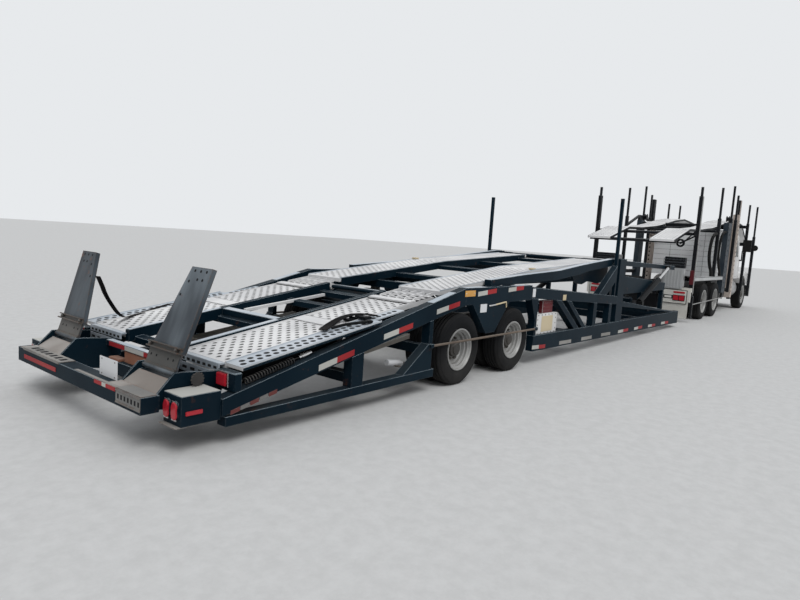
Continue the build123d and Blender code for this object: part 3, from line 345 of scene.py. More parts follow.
# The sleeper's white is brighter than the cab's paint as painted light, making up for the rack's shade on
# that wall.
SLEEPER_WHITE_BRIGHTENED = finish("sleeper_white_painted_light", (0.93, 0.95, 0.95), (0.97, 0.97, 0.97), 0.35, 0.1, 0.05, 0.02,
                     bare=(0.4, 0.39, 0.37))
BARREL_BLACK = finish("barrel_black", (0.006, 0.007, 0.008), (0.011, 0.012, 0.013), 0.4, 0.0, 0.05, 0.02,
                      dust=(0.1, 0.1, 0.1), gloss=0.08)
HINGE_STEEL = finish("hinge_steel", (0.07, 0.07, 0.067), (0.125, 0.12, 0.112), 0.5, 0.9, 0.2, 0.2, metal=0.3,
                     bare=(0.12, 0.06, 0.035), width=0.01, rust=0.5, gloss=0.3)
STEP_STEEL = finish("step_steel", (0.17, 0.17, 0.165), (0.27, 0.26, 0.245), 0.5, 0.9, 0.3, 0.2, metal=0.3,
                    bare=(0.12, 0.06, 0.035), width=0.01, rust=0.5)
SKID_STEEL = finish("skid_steel", (0.2, 0.175, 0.155), (0.36, 0.335, 0.31), 0.6, 0.9, 0.12, 0.06, metal=0.1,
                    bare=(0.22, 0.09, 0.045), width=0.02, rust=0.85, grain=24)
RUST_RED = finish("rust_primer", (0.24, 0.085, 0.04), (0.34, 0.15, 0.08), 0.75, 0.3, 0.2, 0.2)
SIGNAL_RED = finish("red_sheeting", (0.3, 0.012, 0.018), (0.38, 0.026, 0.028), 0.45, 0.1, 0.1, 0.08,
                    coat=0.05, grain=300, gloss=0.15)
SIGNAL_WHITE = finish("white_sheeting", (0.44, 0.44, 0.41), (0.52, 0.52, 0.48), 0.45, 0.2, 0.1, 0.15,
                      coat=0.05, grain=300, gloss=0.2)
FADED_WHITE = finish("faded_sheeting", (0.24, 0.235, 0.22), (0.34, 0.33, 0.31), 0.6, 0.3, 0.1, 0.2, grain=200,
                     gloss=0.2)
WORN_RED = finish("worn_red_tape", (0.13, 0.03, 0.028), (0.09, 0.05, 0.045), 0.6, 0.3, 0.1, 0.1, gloss=0.2)
AMBER = finish("amber_lens", (0.62, 0.27, 0.02), (0.7, 0.36, 0.04), 0.25, 0.0, 0.1, 0.1, coat=0.6)
RED_LENS = finish("red_lens", (0.42, 0.008, 0.022), (0.5, 0.02, 0.03), 0.25, 0.0, 0.1, 0.05, coat=0.25,
                  grain=150, gloss=0.3)
PLATE_WHITE = finish("plate_white", (0.72, 0.73, 0.74), None, 0.35, 0.1, 0.05, 0.15, coat=0.3)
RUBBER = finish("tyre_rubber", (0.0075, 0.008, 0.009), (0.013, 0.0135, 0.0145), 0.75, 0.1, 0.06, 0.06,
                bump=0.3, bare=(0.05, 0.05, 0.05), height=0.5, grain=120, gloss=0.12)
RIM_STEEL = finish("rim_silver", (0.25, 0.25, 0.245), (0.36, 0.36, 0.35), 0.42, 0.6, 0.15, 0.12, metal=0.4,
                   bare=(0.75, 0.74, 0.72), width=0.008, rust=0.25, painted_highlight=(0.7, 0.7, 0.69))
HUB_IRON = finish("hub_iron", (0.012, 0.012, 0.012), (0.05, 0.045, 0.04), 0.6, 0.4, 0.2, 0.2, rust=0.5,
                  bare=(0.2, 0.17, 0.14))
SHADOW = finish("hole_shadow", (0.004, 0.004, 0.005), (0.012, 0.012, 0.014), 0.9, 0.0, 0.0, 0.0)
CABLE = finish("cable_jacket", (0.012, 0.012, 0.013), None, 0.5, 0.0, 0.25, 0.1, grain=200)
WEBBING = finish("strap_webbing", (0.009, 0.009, 0.01), (0.022, 0.021, 0.021), 0.85, 0.3, 0.01, 0.0,
                 bare=(0.05, 0.048, 0.045), grain=400, bump=0.4, gloss=0.05)
AXLE_IRON = finish("axle_iron", (0.02, 0.02, 0.02), None, 0.6, 0.2, 0.6, 0.6, rust=0.5)
CHROME = finish("bright_metal", (0.62, 0.62, 0.62), None, 0.15, 0.1, 0.2, 0.3, metal=1.0)
ALUMINIUM = finish("tank_aluminium", (0.5, 0.5, 0.5), (0.42, 0.42, 0.42), 0.3, 0.2, 0.3, 0.4, metal=0.9)
TRIM = finish("cab_trim", (0.05, 0.048, 0.045), (0.07, 0.066, 0.06), 0.7, 0.0, 0.1, 0.0, grain=220)
FLAP_SHEET = finish("mud_flap_sheet", (0.62, 0.61, 0.56), (0.7, 0.69, 0.64), 0.55, 0.1, 0.2, 0.5, height=0.6)
RAMP_STEEL = finish("ramp_steel", (0.17, 0.155, 0.135), (0.26, 0.24, 0.21), 0.6, 0.6, 0.2, 0.1, width=0.02,
                    rust=0.5, bare=(0.5, 0.49, 0.46), painted_highlight=(0.62, 0.61, 0.58), grain=30)
MAST_PAINT = finish("mast_paint", (0.42, 0.35, 0.3), (0.52, 0.45, 0.4), 0.6, 0.8, 0.2, 0.2, rust=0.5,
                    bare=(0.16, 0.1, 0.08), grain=50)
LOCKER_GREY = finish("locker_grey", (0.4, 0.41, 0.41), (0.48, 0.49, 0.49), 0.4, 0.3, 0.2, 0.3,
                     bare=(0.2, 0.19, 0.18))
COLUMN_BLUE = finish("column_paint", (0.022, 0.033, 0.045), (0.036, 0.048, 0.06), 0.45, 0.6, 0.2, 0.1,
                     rust=0.3, bare=(0.3, 0.31, 0.31), gloss=0.2)
CREAM = finish("cream_label", (0.56, 0.46, 0.28), (0.64, 0.54, 0.36), 0.6, 0.1, 0.1, 0.1)
MAROON = finish("maroon_box", (0.085, 0.01, 0.016), (0.13, 0.018, 0.022), 0.5, 0.4, 0.2, 0.1, gloss=0.2)
ROD_RUST = finish("guard_rod_rust", (0.095, 0.07, 0.052), (0.16, 0.12, 0.09), 0.7, 0.3, 0.2, 0.1, rust=0.6,
                  grain=140)
BLACK_PLASTIC = finish("black_plastic", (0.012, 0.012, 0.012), None, 0.45, 0.1, 0.12, 0.1, grain=200,
                       dust=(0.16, 0.155, 0.15), gloss=0.12)
print("materials:", len(bpy.data.materials))

# %% [markdown]
# Glass needs its transmission as a plain number on the shader, with only the dust varied.

# %% Glass and floor


def glass(name, colour, rough):
    """Tinted glass with a film of dust."""
    material = bpy.data.materials.new(name)
    material.use_nodes = True
    tree = material.node_tree
    shader = tree.nodes["Principled BSDF"]
    shader.inputs["Transmission Weight"].default_value = 0.9
    shader.inputs["IOR"].default_value = 1.45
    dusty = use(tree, DUST, Top=0.3, Low=0.2, Height=2.0)
    tint = mixed(tree, (dusty, "Mask"), colour, DUST_COLOUR)
    join(tree, tint, shader.inputs["Base Color"])
    film = maths(tree, "ADD", maths(tree, "MULTIPLY", (dusty, "Mask"), 0.4), rough, True)
    join(tree, film, shader.inputs["Roughness"])
    return material


GLASS = glass("cab_glass", (0.35, 0.42, 0.42), 0.08)

floor_look = bpy.data.materials.new("studio_floor")
floor_look.use_nodes = True
tree = floor_look.node_tree
soft = add(tree, "ShaderNodeTexCoord")
speckle = banded(tree, noise(tree, (soft, "Object"), 9.0, 8.0, 0.7), 0.3, 0.7)
tone = mixed(tree, speckle, (0.5, 0.5, 0.49), (0.56, 0.56, 0.55))
shader = tree.nodes["Principled BSDF"]
join(tree, tone, shader.inputs["Base Color"])
shader.inputs["Roughness"].default_value = 0.9
floor_mesh.materials.append(floor_look)

# %% [markdown]
# Every frame node now gets its finish. The name says what a node is, so a short list of
# rules, read from the top, is enough.

# %% Dress the frame
RULES = (
    (("glass", "windscreen"), GLASS),
    (("deck_runways", "rack_front_runways", "rack_rear_runways"), TREAD_STEEL),
    # The left flap gets the darker copy of the flap steel, which is painted shade.
    (("tail_flap_left",), FLAP_STEEL_SHADED),
    (("tail_flap",), FLAP_STEEL),
    (("stored_ramps",), RAMP_STEEL),
    (("cab_interior",), TRIM),
    # The sleeper gets the brightened white, which is painted light against the rack's shade.
    (("truck_sleeper",), SLEEPER_WHITE_BRIGHTENED),
    (("truck_cab", "truck_hood", "cab_door", "side_panels"), WHITE_PAINT),
    (("grille", "bumper"), CHROME),
    (("mirrors",), BLACK_PLASTIC),
    (("mud_flaps",), FLAP_SHEET),
    (("cylinders",), BARREL_BLACK),
    (("axle", "knuckle", "engine"), AXLE_IRON),
    (("tanks",), ALUMINIUM),
    (("rack_posts", "rack_supports", "rack_cross", "rack_rear_ties", "truck_chassis", "truck_stinger",
      "truck_springs"), BLACK_PAINT),
    (("",), CHASSIS_PAINT),
)
for name, node in nodes.items():
    node.data.materials.clear()
    node.data.materials.append(next(look for words, look in RULES if any(word in name for word in words)))
print("dressed", len(nodes), "nodes")

# %% [markdown]
# ## A small kit for added pieces
# Everything that is added is collected in a kit, one for each body and finish, and each kit
# ends as one mesh. Its shapes are a softened block, a side-view prism, a turned section, a
# disc and a round bar. Most rows of blocks and strips are mirrored, so their y is a distance
# from the middle of the truck. Rows that belong to one side say so, and give y itself.

# %% Kit
SIDES = (("left", 1), ("right", -1))
MIRRORED, AS_GIVEN = (1, -1), (1,)


class Kit:
    """One mesh in the making."""

    def __init__(self):
        self.mesh = bmesh.new()

    def block(self, low, high, soft=0.004, turn=None):
        """A block with softened edges; turn is a matrix about its centre."""
        made = bmesh.ops.create_cube(self.mesh, size=1)["verts"]
        size = [max(b - a, 1e-4) for a, b in zip(low, high)]
        bmesh.ops.scale(self.mesh, vec=size, verts=made)
        if soft:
            edges = list({e for v in made for e in v.link_edges})
            limit = min(soft, min(size) * 0.3)
            made = bmesh.ops.bevel(self.mesh, geom=edges, offset=limit, segments=2, affect="EDGES")["verts"]
        if turn:
            bmesh.ops.transform(self.mesh, matrix=turn, verts=made)
        middle = Vector([(a + b) / 2 for a, b in zip(low, high)])
        bmesh.ops.translate(self.mesh, vec=middle, verts=made)

    def prism(self, outline, y):
        """A side-view outline of (x, z) corners across the band y."""
        near, far = ([self.mesh.verts.new((x, side, z)) for x, z in outline] for side in y)
        faces = [self.mesh.faces.new(loop) for loop in (near, far)]
        for i in range(len(outline)):
            n = (i + 1) % len(outline)
            faces.append(self.mesh.faces.new((near[i], near[n], far[n], far[i])))
        bmesh.ops.recalc_face_normals(self.mesh, faces=faces)

    def bar(self, start, end, y, below, above):
        """A flat bar along a side-view line, between two heights over it."""
        low, high = ([(x, z + rise) for x, z in (start, end)] for rise in (below, above))
        self.prism(low + high[::-1], y)

    def turned(self, section, centre, axis, steps=32):
        """A section of (radius, distance along the axis) points turned about the axis."""
        axis = Vector(axis).normalized()
        side = axis.orthogonal().normalized()
        other = axis.cross(side)
        angles = [2 * math.pi * k / steps for k in range(steps)]
        rings = []
        for radius, along in section:
            base = Vector(centre) + axis * along
            ring = [base + radius * (math.cos(a) * side + math.sin(a) * other) for a in angles]
            rings.append([self.mesh.verts.new(spot) for spot in (ring if radius else [base])])
        faces = []
        for first, second in zip(rings, rings[1:]):
            for k in range(steps):
                n = (k + 1) % steps
                corners = list(dict.fromkeys((first[k % len(first)], first[n % len(first)],
                                              second[n % len(second)], second[k % len(second)])))
                if len(corners) > 2:
                    faces.append(self.mesh.faces.new(corners))
        bmesh.ops.recalc_face_normals(self.mesh, faces=faces)

    def disc(self, centre, axis, radius, steps=16):
        """A flat round face."""
        self.turned(((0, 0), (radius, 0)), centre, axis, steps)

    def rod(self, start, end, radius, steps=12):
        """A closed round bar between two points."""
        start, end = Vector(start), Vector(end)
        length = (end - start).length
        bevel = min(radius * 0.25, length * 0.3)
        self.turned(((0, 0), (radius - bevel, 0), (radius, bevel), (radius, length - bevel),
                     (radius - bevel, length), (0, length)), start, end - start, steps)

    def hexagon(self, place, axis, radius, depth):
        """A nut or bolt head that stands on a face."""
        self.turned(((radius, 0), (radius, depth * 0.8), (radius * 0.8, depth), (0, depth)), place, axis, 6)

    def piece(self, name, body, material, smooth=True):
        """The finished object, riding on its body."""
        data = bpy.data.meshes.new(name)
        self.mesh.normal_update()
        self.mesh.to_mesh(data)
        self.mesh.free()
        data.materials.append(material)
        for polygon in data.polygons:
            polygon.use_smooth = smooth
        if smooth:
            data.set_sharp_from_angle(angle=math.radians(35))
        made = bpy.data.objects.new(name, data)
        scene.collection.objects.link(made)
        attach(made, body)
        return made


def band(side, near, far):
    """The y band between two distances from the middle, on one side."""
    return tuple(sorted((side * near, side * far)))


def blocks(kit, *rows, sides=MIRRORED, count=1, step=(0, 0, 0)):
    """Blocks given as x, y and z ranges and a softening, and repeated count times, a step apart."""
    for k in range(count):
        dx, dy, dz = (k * s for s in step)
        for x_low, x_high, near, far, z_low, z_high, soft in rows:
            for side in sides:
                y = band(side, near + dy, far + dy)
                kit.block((x_low + dx, y[0], z_low + dz), (x_high + dx, y[1], z_high + dz), soft)


def on_disc(centre, side, ring, angle, depth):
    """A point of a disc that faces one side, at a depth behind its face."""
    x, face, z = centre
    return x + ring * math.cos(angle), face - side * depth, z + ring * math.sin(angle)


def on_line(line, x):
    """The height of a side-view line at x."""
    for start, end in zip(line, line[1:]):
        if x <= end[0]:
            break
    return start[1] + (end[1] - start[1]) * (x - start[0]) / (end[0] - start[0])


def strips(kit, line, *rows, sides=MIRRORED):
    """Flat strips along a side-view line: x and y ranges, the lift off the line, the thickness."""
    for x_low, x_high, near, far, lift, thick in rows:
        ends = [(x, on_line(line, x)) for x in (x_low, x_high)]
        for side in sides:
            kit.bar(*ends, band(side, near, far), lift, lift + thick)


def hand_over(body, *rows, smooth=True):
    """Kits that end as pieces on a body, each with its name and material; the slot in each row is not used.
    """
    for kit, name, look, slot in rows:
        kit.piece(name, body, look, smooth)


print("kit ready")

# %% [markdown]
# ## Wheels
# The frame's wheels are plain turned solids. Each is replaced by a tyre with a grooved
# tread and rounded walls, a stepped deep-dish rim, and a dark hub with its nuts. Twin
# wheels get a second tyre behind the first. Radius and place are read from the frame's own
# boxes; the table has the tyre's width, the rim's radius and the depth of its dish.

# %% Wheels
WHEELS = (
    ("trailer_wheel_rear", 0.235, 0.222, 0.12, True),
    ("trailer_wheel_front", 0.235, 0.222, 0.12, True),
    ("drive_wheel_rear", 0.245, 0.286, 0.13, True),
    ("drive_wheel_front", 0.245, 0.286, 0.13, True),
    ("steer_wheel", 0.275, 0.286, 0.06, False),
)
TWIN_GAP = 0.03
NUTS = 10


def tyre_section(radius, rim, width):
    """(radius, depth from the outer face) of a truck tyre with four grooves."""
    wall = radius - rim
    half = [(rim - 0.006, 0.034), (rim + 0.008, 0.022), (rim + 0.022, 0.02), (rim + 0.24 * wall, 0.006),
            (rim + 0.5 * wall, 0.0), (rim + 0.72 * wall, 0.004), (rim + 0.84 * wall, 0.012),
            (rim + 0.85 * wall, 0.017), (radius - 0.014, 0.024), (radius - 0.003, 0.034)]
    tread = []
    for groove in (0.24, 0.42, 0.58, 0.76):
        at = groove * width
        tread += [(radius, at - 0.008), (radius - 0.012, at - 0.005), (radius - 0.012, at + 0.005),
                  (radius, at + 0.008)]
    return half + tread + [(r, width - d) for r, d in reversed(half)]


def rim_section(rim, dish, reach):
    """(radius, depth) of the rim from the disc out over the lip and back to the drum."""
    return ((0.09, dish), (rim * 0.7, dish), (rim * 0.76, dish - 0.012), (rim * 0.79, dish * 0.62),
            (rim * 0.86, dish * 0.56), (rim * 0.875, dish * 0.34), (rim * 0.94, dish * 0.26),
            (rim * 0.955, 0.02), (rim * 0.99, 0.011), (rim + 0.012, 0.011), (rim + 0.013, 0.022),
            (rim - 0.008, 0.034), (rim - 0.008, reach - 0.034), (rim + 0.013, reach - 0.022),
            (rim + 0.012, reach - 0.011), (rim * 0.96, reach - 0.014), (rim * 0.88, reach - 0.06),
            (rim * 0.8, reach - 0.06), (rim * 0.8, reach - 0.004), (rim * 0.3, reach - 0.004))


for label, width, rim, dish, twin in WHEELS:
    for hand, side in SIDES:
        node = f"{label}_{hand}"
        low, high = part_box(node)
        radius = (high[2] - low[2]) / 2
        x, z = (low[0] + high[0]) / 2, (low[2] + high[2]) / 2
        face = high[1] if side > 0 else low[1]
        reach = 2 * width + TWIN_GAP if twin else width
        centre, inward, outward = (x, face, z), (0, -side, 0), (0, side, 0)
        tyre, metal, hub = Kit(), Kit(), Kit()
        for start in (0, width + TWIN_GAP) if twin else (0,):
            tyre.turned([(r, d + start) for r, d in tyre_section(radius, rim, width)], centre, inward, 96)
        metal.turned(rim_section(rim, dish, reach), centre, inward, 64)
        out = 0.045 if twin else 0.012
        hub.turned(((0, out), (0.05, out), (0.062, out + 0.006), (0.066, out + 0.02), (0.088, out + 0.03),
                    (0.092, dish), (0.1, dish + 0.004)), centre, inward, 32)
        for k in range(NUTS):
            a = 2 * math.pi * k / NUTS
            hub.hexagon(on_disc(centre, side, rim * 0.52, a, dish + 0.001), outward, 0.016, 0.028)
            if k % 2 == 0:
                between = a + math.pi / NUTS
                hub.disc(on_disc(centre, side, rim * 0.62, between, dish - 0.001), outward, 0.022)
        hub.turned(((rim * 0.32, reach - 0.006), (0.066, reach - 0.006)), centre, inward, 32)
        for kit, part, look in ((tyre, "tyre", RUBBER), (metal, "rim", RIM_STEEL), (hub, "hub", HUB_IRON)):
            made = kit.piece(f"{node}_{part}", node, look)
            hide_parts(node)
print("wheels:", len(WHEELS) * 2)

# %% [markdown]
# ## Perforated runways
# The planks are punched plate: staggered holes with raised collars on the treads, larger
# plain ones along the outer strips. Geometry Nodes lays out one staggered grid with its
# sizes as inputs. It runs once for each straight stretch of runway, the result is baked to
# a mesh and set on the plank's own slope.

# %% Punching tree
punch = bpy.data.node_groups.new("punched_rows", "GeometryNodeTree")
sockets = {}
for label, kind, value in (("Geometry", "Geometry", None), ("Length", "Float", 1.0), ("Width", "Float", 0.5),
                           ("Pitch", "Float", 0.1), ("Row", "Float", 0.058), ("Shape", "Object", None),
                           ("Finish", "Material", None)):
    socket = punch.interface.new_socket(label, in_out="INPUT", socket_type=f"NodeSocket{kind}")
    if value is not None:
        socket.default_value = value
    sockets[label] = socket.identifier
punch.interface.new_socket("Geometry", in_out="OUTPUT", socket_type="NodeSocketGeometry")
given, result = punch.nodes.new("NodeGroupInput"), punch.nodes.new("NodeGroupOutput")
across = maths(punch, "FLOOR", maths(punch, "DIVIDE", (given, "Width"), (given, "Row")))
fitting = maths(punch, "DIVIDE", (given, "Length"), (given, "Pitch"))
along = maths(punch, "FLOOR", maths(punch, "SUBTRACT", fitting, 0.5))
span = maths(punch, "MULTIPLY", maths(punch, "SUBTRACT", along, 1.0), (given, "Pitch"))
breadth = maths(punch, "MULTIPLY", maths(punch, "SUBTRACT", across, 1.0), (given, "Row"))
grid = punch.nodes.new("GeometryNodeMeshGrid")
order = punch.nodes.new("GeometryNodeInputIndex")
parity = maths(punch, "MODULO", maths(punch, "MODULO", (order, 0), across), 2.0)
half_pitch = maths(punch, "MULTIPLY", (given, "Pitch"), 0.5)
shift = maths(punch, "MULTIPLY", maths(punch, "SUBTRACT", parity, 0.5), half_pitch)
offset = punch.nodes.new("ShaderNodeCombineXYZ")
stagger = punch.nodes.new("GeometryNodeSetPosition")
form = punch.nodes.new("GeometryNodeObjectInfo")
placed = punch.nodes.new("GeometryNodeInstanceOnPoints")
real = punch.nodes.new("GeometryNodeRealizeInstances")
coat = punch.nodes.new("GeometryNodeSetMaterial")
for source, target, into in ((span, grid, "Size X"), (breadth, grid, "Size Y"), (along, grid, "Vertices X"),
                             (across, grid, "Vertices Y"), (shift, offset, "X")):
    join(punch, source, target.inputs[into])
wire(punch, (grid, "Mesh", stagger, "Geometry"), (offset, 0, stagger, "Offset"),
     (stagger, 0, placed, "Points"), (given, "Shape", form, "Object"), (form, "Geometry", placed, "Instance"),
     (placed, 0, real, 0), (real, 0, coat, 0), (given, "Finish", coat, "Material"), (coat, 0, result, 0))


def stamp(name, section, steps):
    """A small turned shape for the tree to repeat, kept out of the scene."""
    kit = Kit()
    kit.turned(section, (0, 0, 0), (0, 0, 1), steps)
    data = bpy.data.meshes.new(name)
    kit.mesh.to_mesh(data)
    kit.mesh.free()
    return bpy.data.objects.new(name, data)


def punched(kit, shape, material, start, end, y, width, pitch, row, lift=0.0):
    """Adds one baked stretch to a kit, on the slope from start to end and in the middle of band y."""
    carrier = bpy.data.objects.new("stretch", bpy.data.meshes.new("stretch"))
    scene.collection.objects.link(carrier)
    change = carrier.modifiers.new("punch", "NODES")
    change.node_group = punch
    for label, value in (("Length", math.dist(start, end)), ("Width", width), ("Pitch", pitch), ("Row", row),
                         ("Shape", shape), ("Finish", material)):
        change[sockets[label]] = value
    bpy.context.view_layer.update()
    ready = carrier.evaluated_get(bpy.context.evaluated_depsgraph_get())
    data = bpy.data.meshes.new_from_object(ready)
    bpy.data.objects.remove(carrier)
    slope = math.atan2(end[1] - start[1], end[0] - start[0])
    middle = ((start[0] + end[0]) / 2, (y[0] + y[1]) / 2, (start[1] + end[1]) / 2 + lift)
    data.transform(Matrix.Translation(middle) @ Matrix.Rotation(-slope, 4, "Y"))
    kit.mesh.from_mesh(data)
    bpy.data.meshes.remove(data)


COLLAR = stamp("collar", ((0.0275, 0.0005), (0.0235, 0.004), (0.0205, 0.0045), (0.0195, 0.0015)), 12)
HOLE = stamp("hole", ((0.0, 0.0016), (0.0202, 0.0016)), 12)
WIDE_HOLE = stamp("wide_hole", ((0.0, 0.0012), (0.0245, 0.0012)), 16)
print("tree:", punch.name, "with", len(punch.nodes), "nodes")

# %% [markdown]
# A stretch is a line of the side view, its start and end in metres, and the band it covers.
# The planks' top lines repeat the frame's own corners.

# %% Punch the runways
REAR = ((-10.33, 0.56), (-7.8, 0.9573))
MID = ((-7.61, 1.025), (-5.32, 1.262), (-2.66, 1.42))
FRONT = ((-2.3, 1.4444), (1.74, 1.35))
RACK_REAR = ((1.58, 1.95), (2.88, 2.26), (3.88, 2.3), (5.18, 2.41), (5.98, 2.5167))
RACK_FRONT = ((6.14, 2.545), (7.08, 2.69), (8.08, 2.79), (9.28, 2.73), (9.98, 2.38), (10.43, 2.2))
TREADS = (
    ("rear_deck", REAR, (0.48, 1.06), 0.1, 0.058),
    ("mid_deck", MID, (0.48, 1.06), 0.1, 0.058),
    ("front_deck", FRONT, (0.48, 0.96), 0.1, 0.058),
    ("rack_rear_deck", RACK_REAR, (0.46, 1.01), 0.12, 0.068),
    ("truck", RACK_FRONT, (0.46, 1.01), 0.12, 0.068),
)
MARGIN = 0.03
for body, line, reach, pitch, row in TREADS:
    for label, shape, material in (("collars", COLLAR, TREAD_STEEL), ("holes", HOLE, SHADOW)):
        kit = Kit()
        for start, end in zip(line, line[1:]):
            for side in MIRRORED:
                width = reach[1] - reach[0] - MARGIN
                punched(kit, shape, material, start, end, band(side, *reach), width, pitch, row)
        hand_over(body, (kit, f"{body}_{label}", material, "deck_steel"))
print("punched", len(TREADS), "decks")

# %% [markdown]
# ## The outer strips
# Beside each rear runway runs a lower, bluer strip with large holes and a turned-up lip.

# %% Outer strips
STRIP_END, NARROW_END = (-8.8, 0.80023), (-8.36, 0.8693232)
WIDE_GRID = {"pitch": 0.078, "row": 0.07}
holes, faces, cheeks = Kit(), Kit(), Kit()
for side in MIRRORED:
    y = band(side, 1.062, 1.268)
    punched(holes, WIDE_HOLE, SHADOW, REAR[0], STRIP_END, y, 0.15, lift=0.0015, **WIDE_GRID)
    faces.bar(REAR[0], STRIP_END, y, 0.0005, 0.002)
    for lip in (side * 1.058, side * 1.2665):
        faces.bar(REAR[0], STRIP_END, (lip - 0.003, lip + 0.003), 0, 0.01)
    y = band(side, 1.061, 1.178)
    punched(holes, WIDE_HOLE, SHADOW, STRIP_END, NARROW_END, y, 0.125, **WIDE_GRID)
    faces.bar(STRIP_END, NARROW_END, y, -0.012, 0)
    cheeks.bar(REAR[0], STRIP_END, band(side, 1.2702, 1.2712), -0.0245, -0.0035)
hand_over("rear_deck", (holes, "rear_strip_holes", SHADOW, "deck_steel"))
hand_over("rear_deck", (faces, "rear_strip_faces", STRIP_STEEL, "deck_steel"),
          (cheeks, "rear_strip_cheeks", CHASSIS_PAINT, "frame_paint"), smooth=False)
print("outer strips done")

# %% [markdown]
# ## Tape along the sides
# Conspicuity tape alternates white and red along both sides. Each mark is a thin plate
# that follows the slope of the member it is stuck to. Three marks have lost their red half.

# %% Tape
TAPE = (
    ((-9.59, 0.44), (-9.17, 0.53)), ((-8.78, 0.63), (-8.35, 0.71)), ((-7.96, 0.82), (-7.54, 0.89)),
    ((-7.18, 0.98), (-6.77, 1.01)), ((-6.48, 1.01), (-6.09, 1.03)), ((-5.71, 0.22), (-5.31, 0.2)),
    ((-2.4, 0.165), (-1.87, 0.165)), ((-1.53, 0.155), (-1.06, 0.155)), ((-0.68, 0.145), (-0.21, 0.135)),
    ((0.21, 0.14), (0.73, 0.125)),
)
FADED = (((-4.85, 0.2), (-4.43, 0.19)), ((-4.04, 0.185), (-3.62, 0.18)), ((-3.21, 0.18), (-2.79, 0.17)))
TAPE_WIDTH, TAPE_SKIN = 0.052, (1.2895, 1.2915)
white, red, pale = Kit(), Kit(), Kit()
marks = [(pale, start, end) for start, end in FADED]
for start, end in TAPE:
    middle = tuple((a + b) / 2 for a, b in zip(start, end))
    marks += [(white, start, middle), (red, middle, end)]
for kit, start, end in marks:
    for side in MIRRORED:
        kit.bar(start, end, band(side, *TAPE_SKIN), 0, TAPE_WIDTH)
hand_over("trailer", (white, "side_tape_white", SIGNAL_WHITE, "frame_paint"),
          (red, "side_tape_red", SIGNAL_RED, "frame_paint"),
          (pale, "side_tape_faded", FADED_WHITE, "frame_paint"), smooth=False)
print("tape marks:", len(TAPE) * 2)

# %% [markdown]
# ## The tail
# The folding flaps stand on a ledged hinge panel with bolt holes. The panels, ledges and
# holes are placed in the flap's own axes: across, up the blade, and out of its face.

# %% Flap details
LEAN = math.radians(18)
FLAP_FOOT = Vector((-10.71, 0, 0.508))
FLAP_UP = Vector((math.sin(LEAN), 0, math.cos(LEAN)))
FLAP_OUT = Vector((-math.cos(LEAN), 0, math.sin(LEAN)))
FLAP_HOLES = ((0.84, 0.765), (0.915, 0.765), (0.99, 0.765), (0.9, 0.7), (0.965, 0.7), (0.8, 0.68),
              (0.745, 0.57))
PANEL_SLABS = ((0.58, 0.996, 0.014, 0.142, 0.0005, 0.0045), (0.58, 0.996, 0.006, 0.03, 0.004, 0.014))
LEDGE_SLABS = ((0.57, 1.006, 0.14, 0.152, 0.0, 0.042), (0.572, 1.004, 0.178, 0.188, 0.0, 0.036),
               (0.572, 1.004, 0.15, 0.18, 0.0, 0.014))


def on_flap(side, across, rise, out):
    """A point of a flap: metres across the vehicle, up the blade, and out of its rear face."""
    return FLAP_FOOT + Vector((0, side * across, 0)) + rise * FLAP_UP + out * FLAP_OUT


def slab(kit, side, near, far, foot, top, inner, outer):
    """A softened block in the flap's axes."""
    middle = on_flap(side, (near + far) / 2, (foot + top) / 2, (inner + outer) / 2)
    half = ((outer - inner) / 2, (far - near) / 2, (top - foot) / 2)
    low, high = ([m + sign * h for m, h in zip(middle, half)] for sign in (-1, 1))
    kit.block(low, high, 0.003, Matrix.Rotation(LEAN, 4, "Y"))


for hand, side in SIDES:
    body = f"tail_flap_{hand}"
    panel, ledge, holes = Kit(), Kit(), Kit()
    for kit, slabs in ((panel, PANEL_SLABS), (ledge, LEDGE_SLABS)):
        for row in slabs:
            slab(kit, side, *row)
    for across in (0.6, 0.955):
        ledge.hexagon(on_flap(side, across, 0.166, 0.014), FLAP_OUT, 0.016, 0.022)
    for across, rise in FLAP_HOLES:
        for out, way in ((0.0008, FLAP_OUT), (-0.0148, -FLAP_OUT)):
            holes.disc(on_flap(side, across, rise, out), way, 0.0115)
    for across in (0.625, 0.7, 0.86, 0.93):
        holes.disc(on_flap(side, across, 0.09, 0.005), FLAP_OUT, 0.01)
    hand_over(body, (panel, f"{body}_panel", HINGE_STEEL, "bare_steel"),
              (ledge, f"{body}_ledge", HINGE_STEEL, "bare_steel"),
              (holes, f"{body}_holes", SHADOW, "bare_steel"))
print("flaps detailed")

# %% [markdown]
# The skid trays between dark cheeks are scraped to bare, browned steel. The step bumper
# has a punched channel on each side, and red and white tape between them.

# %% Tail details
steps, dark, reds, whites, plates, rust = (Kit() for _ in range(6))
trays, blues, lenses, bezels, brackets = (Kit() for _ in range(5))
blocks(steps, (-10.998, -10.872, 0.22, 0.95, 0.401, 0.408, 0.003),
       (-11.006, -10.996, 0.22, 0.95, 0.39, 0.411, 0.003),
       (-11.008, -10.998, -1.07, -0.73, 0.385, 0.4, 0.003),
       (-11.008, -10.998, -1.07, -0.73, 0.3, 0.314, 0.003),
       (-11.003, -10.999, -1.07, -0.73, 0.31, 0.39, 0.001),
       (-11.0, -10.88, -1.07, -0.73, 0.4005, 0.408, 0.002),
       (-10.998, -10.966, -0.72, -0.05, 0.4005, 0.4045, 0.002),
       (-10.91, -10.903, -0.53, -0.33, 0.4005, 0.53, 0.002), sides=AS_GIVEN)
blocks(steps, (-10.86, -10.53, 1.052, 1.268, 0.203, 0.21, 0.002))
blocks(dark, (-10.965, -10.905, 0.27, 0.325, 0.4076, 0.4088, 0.0005), sides=AS_GIVEN, count=7,
       step=(0, 0.095, 0))
blocks(dark, (-11.0045, -11.0028, -0.777, -0.755, 0.333, 0.368, 0.0005), sides=AS_GIVEN, count=7,
       step=(0, -0.047, 0))
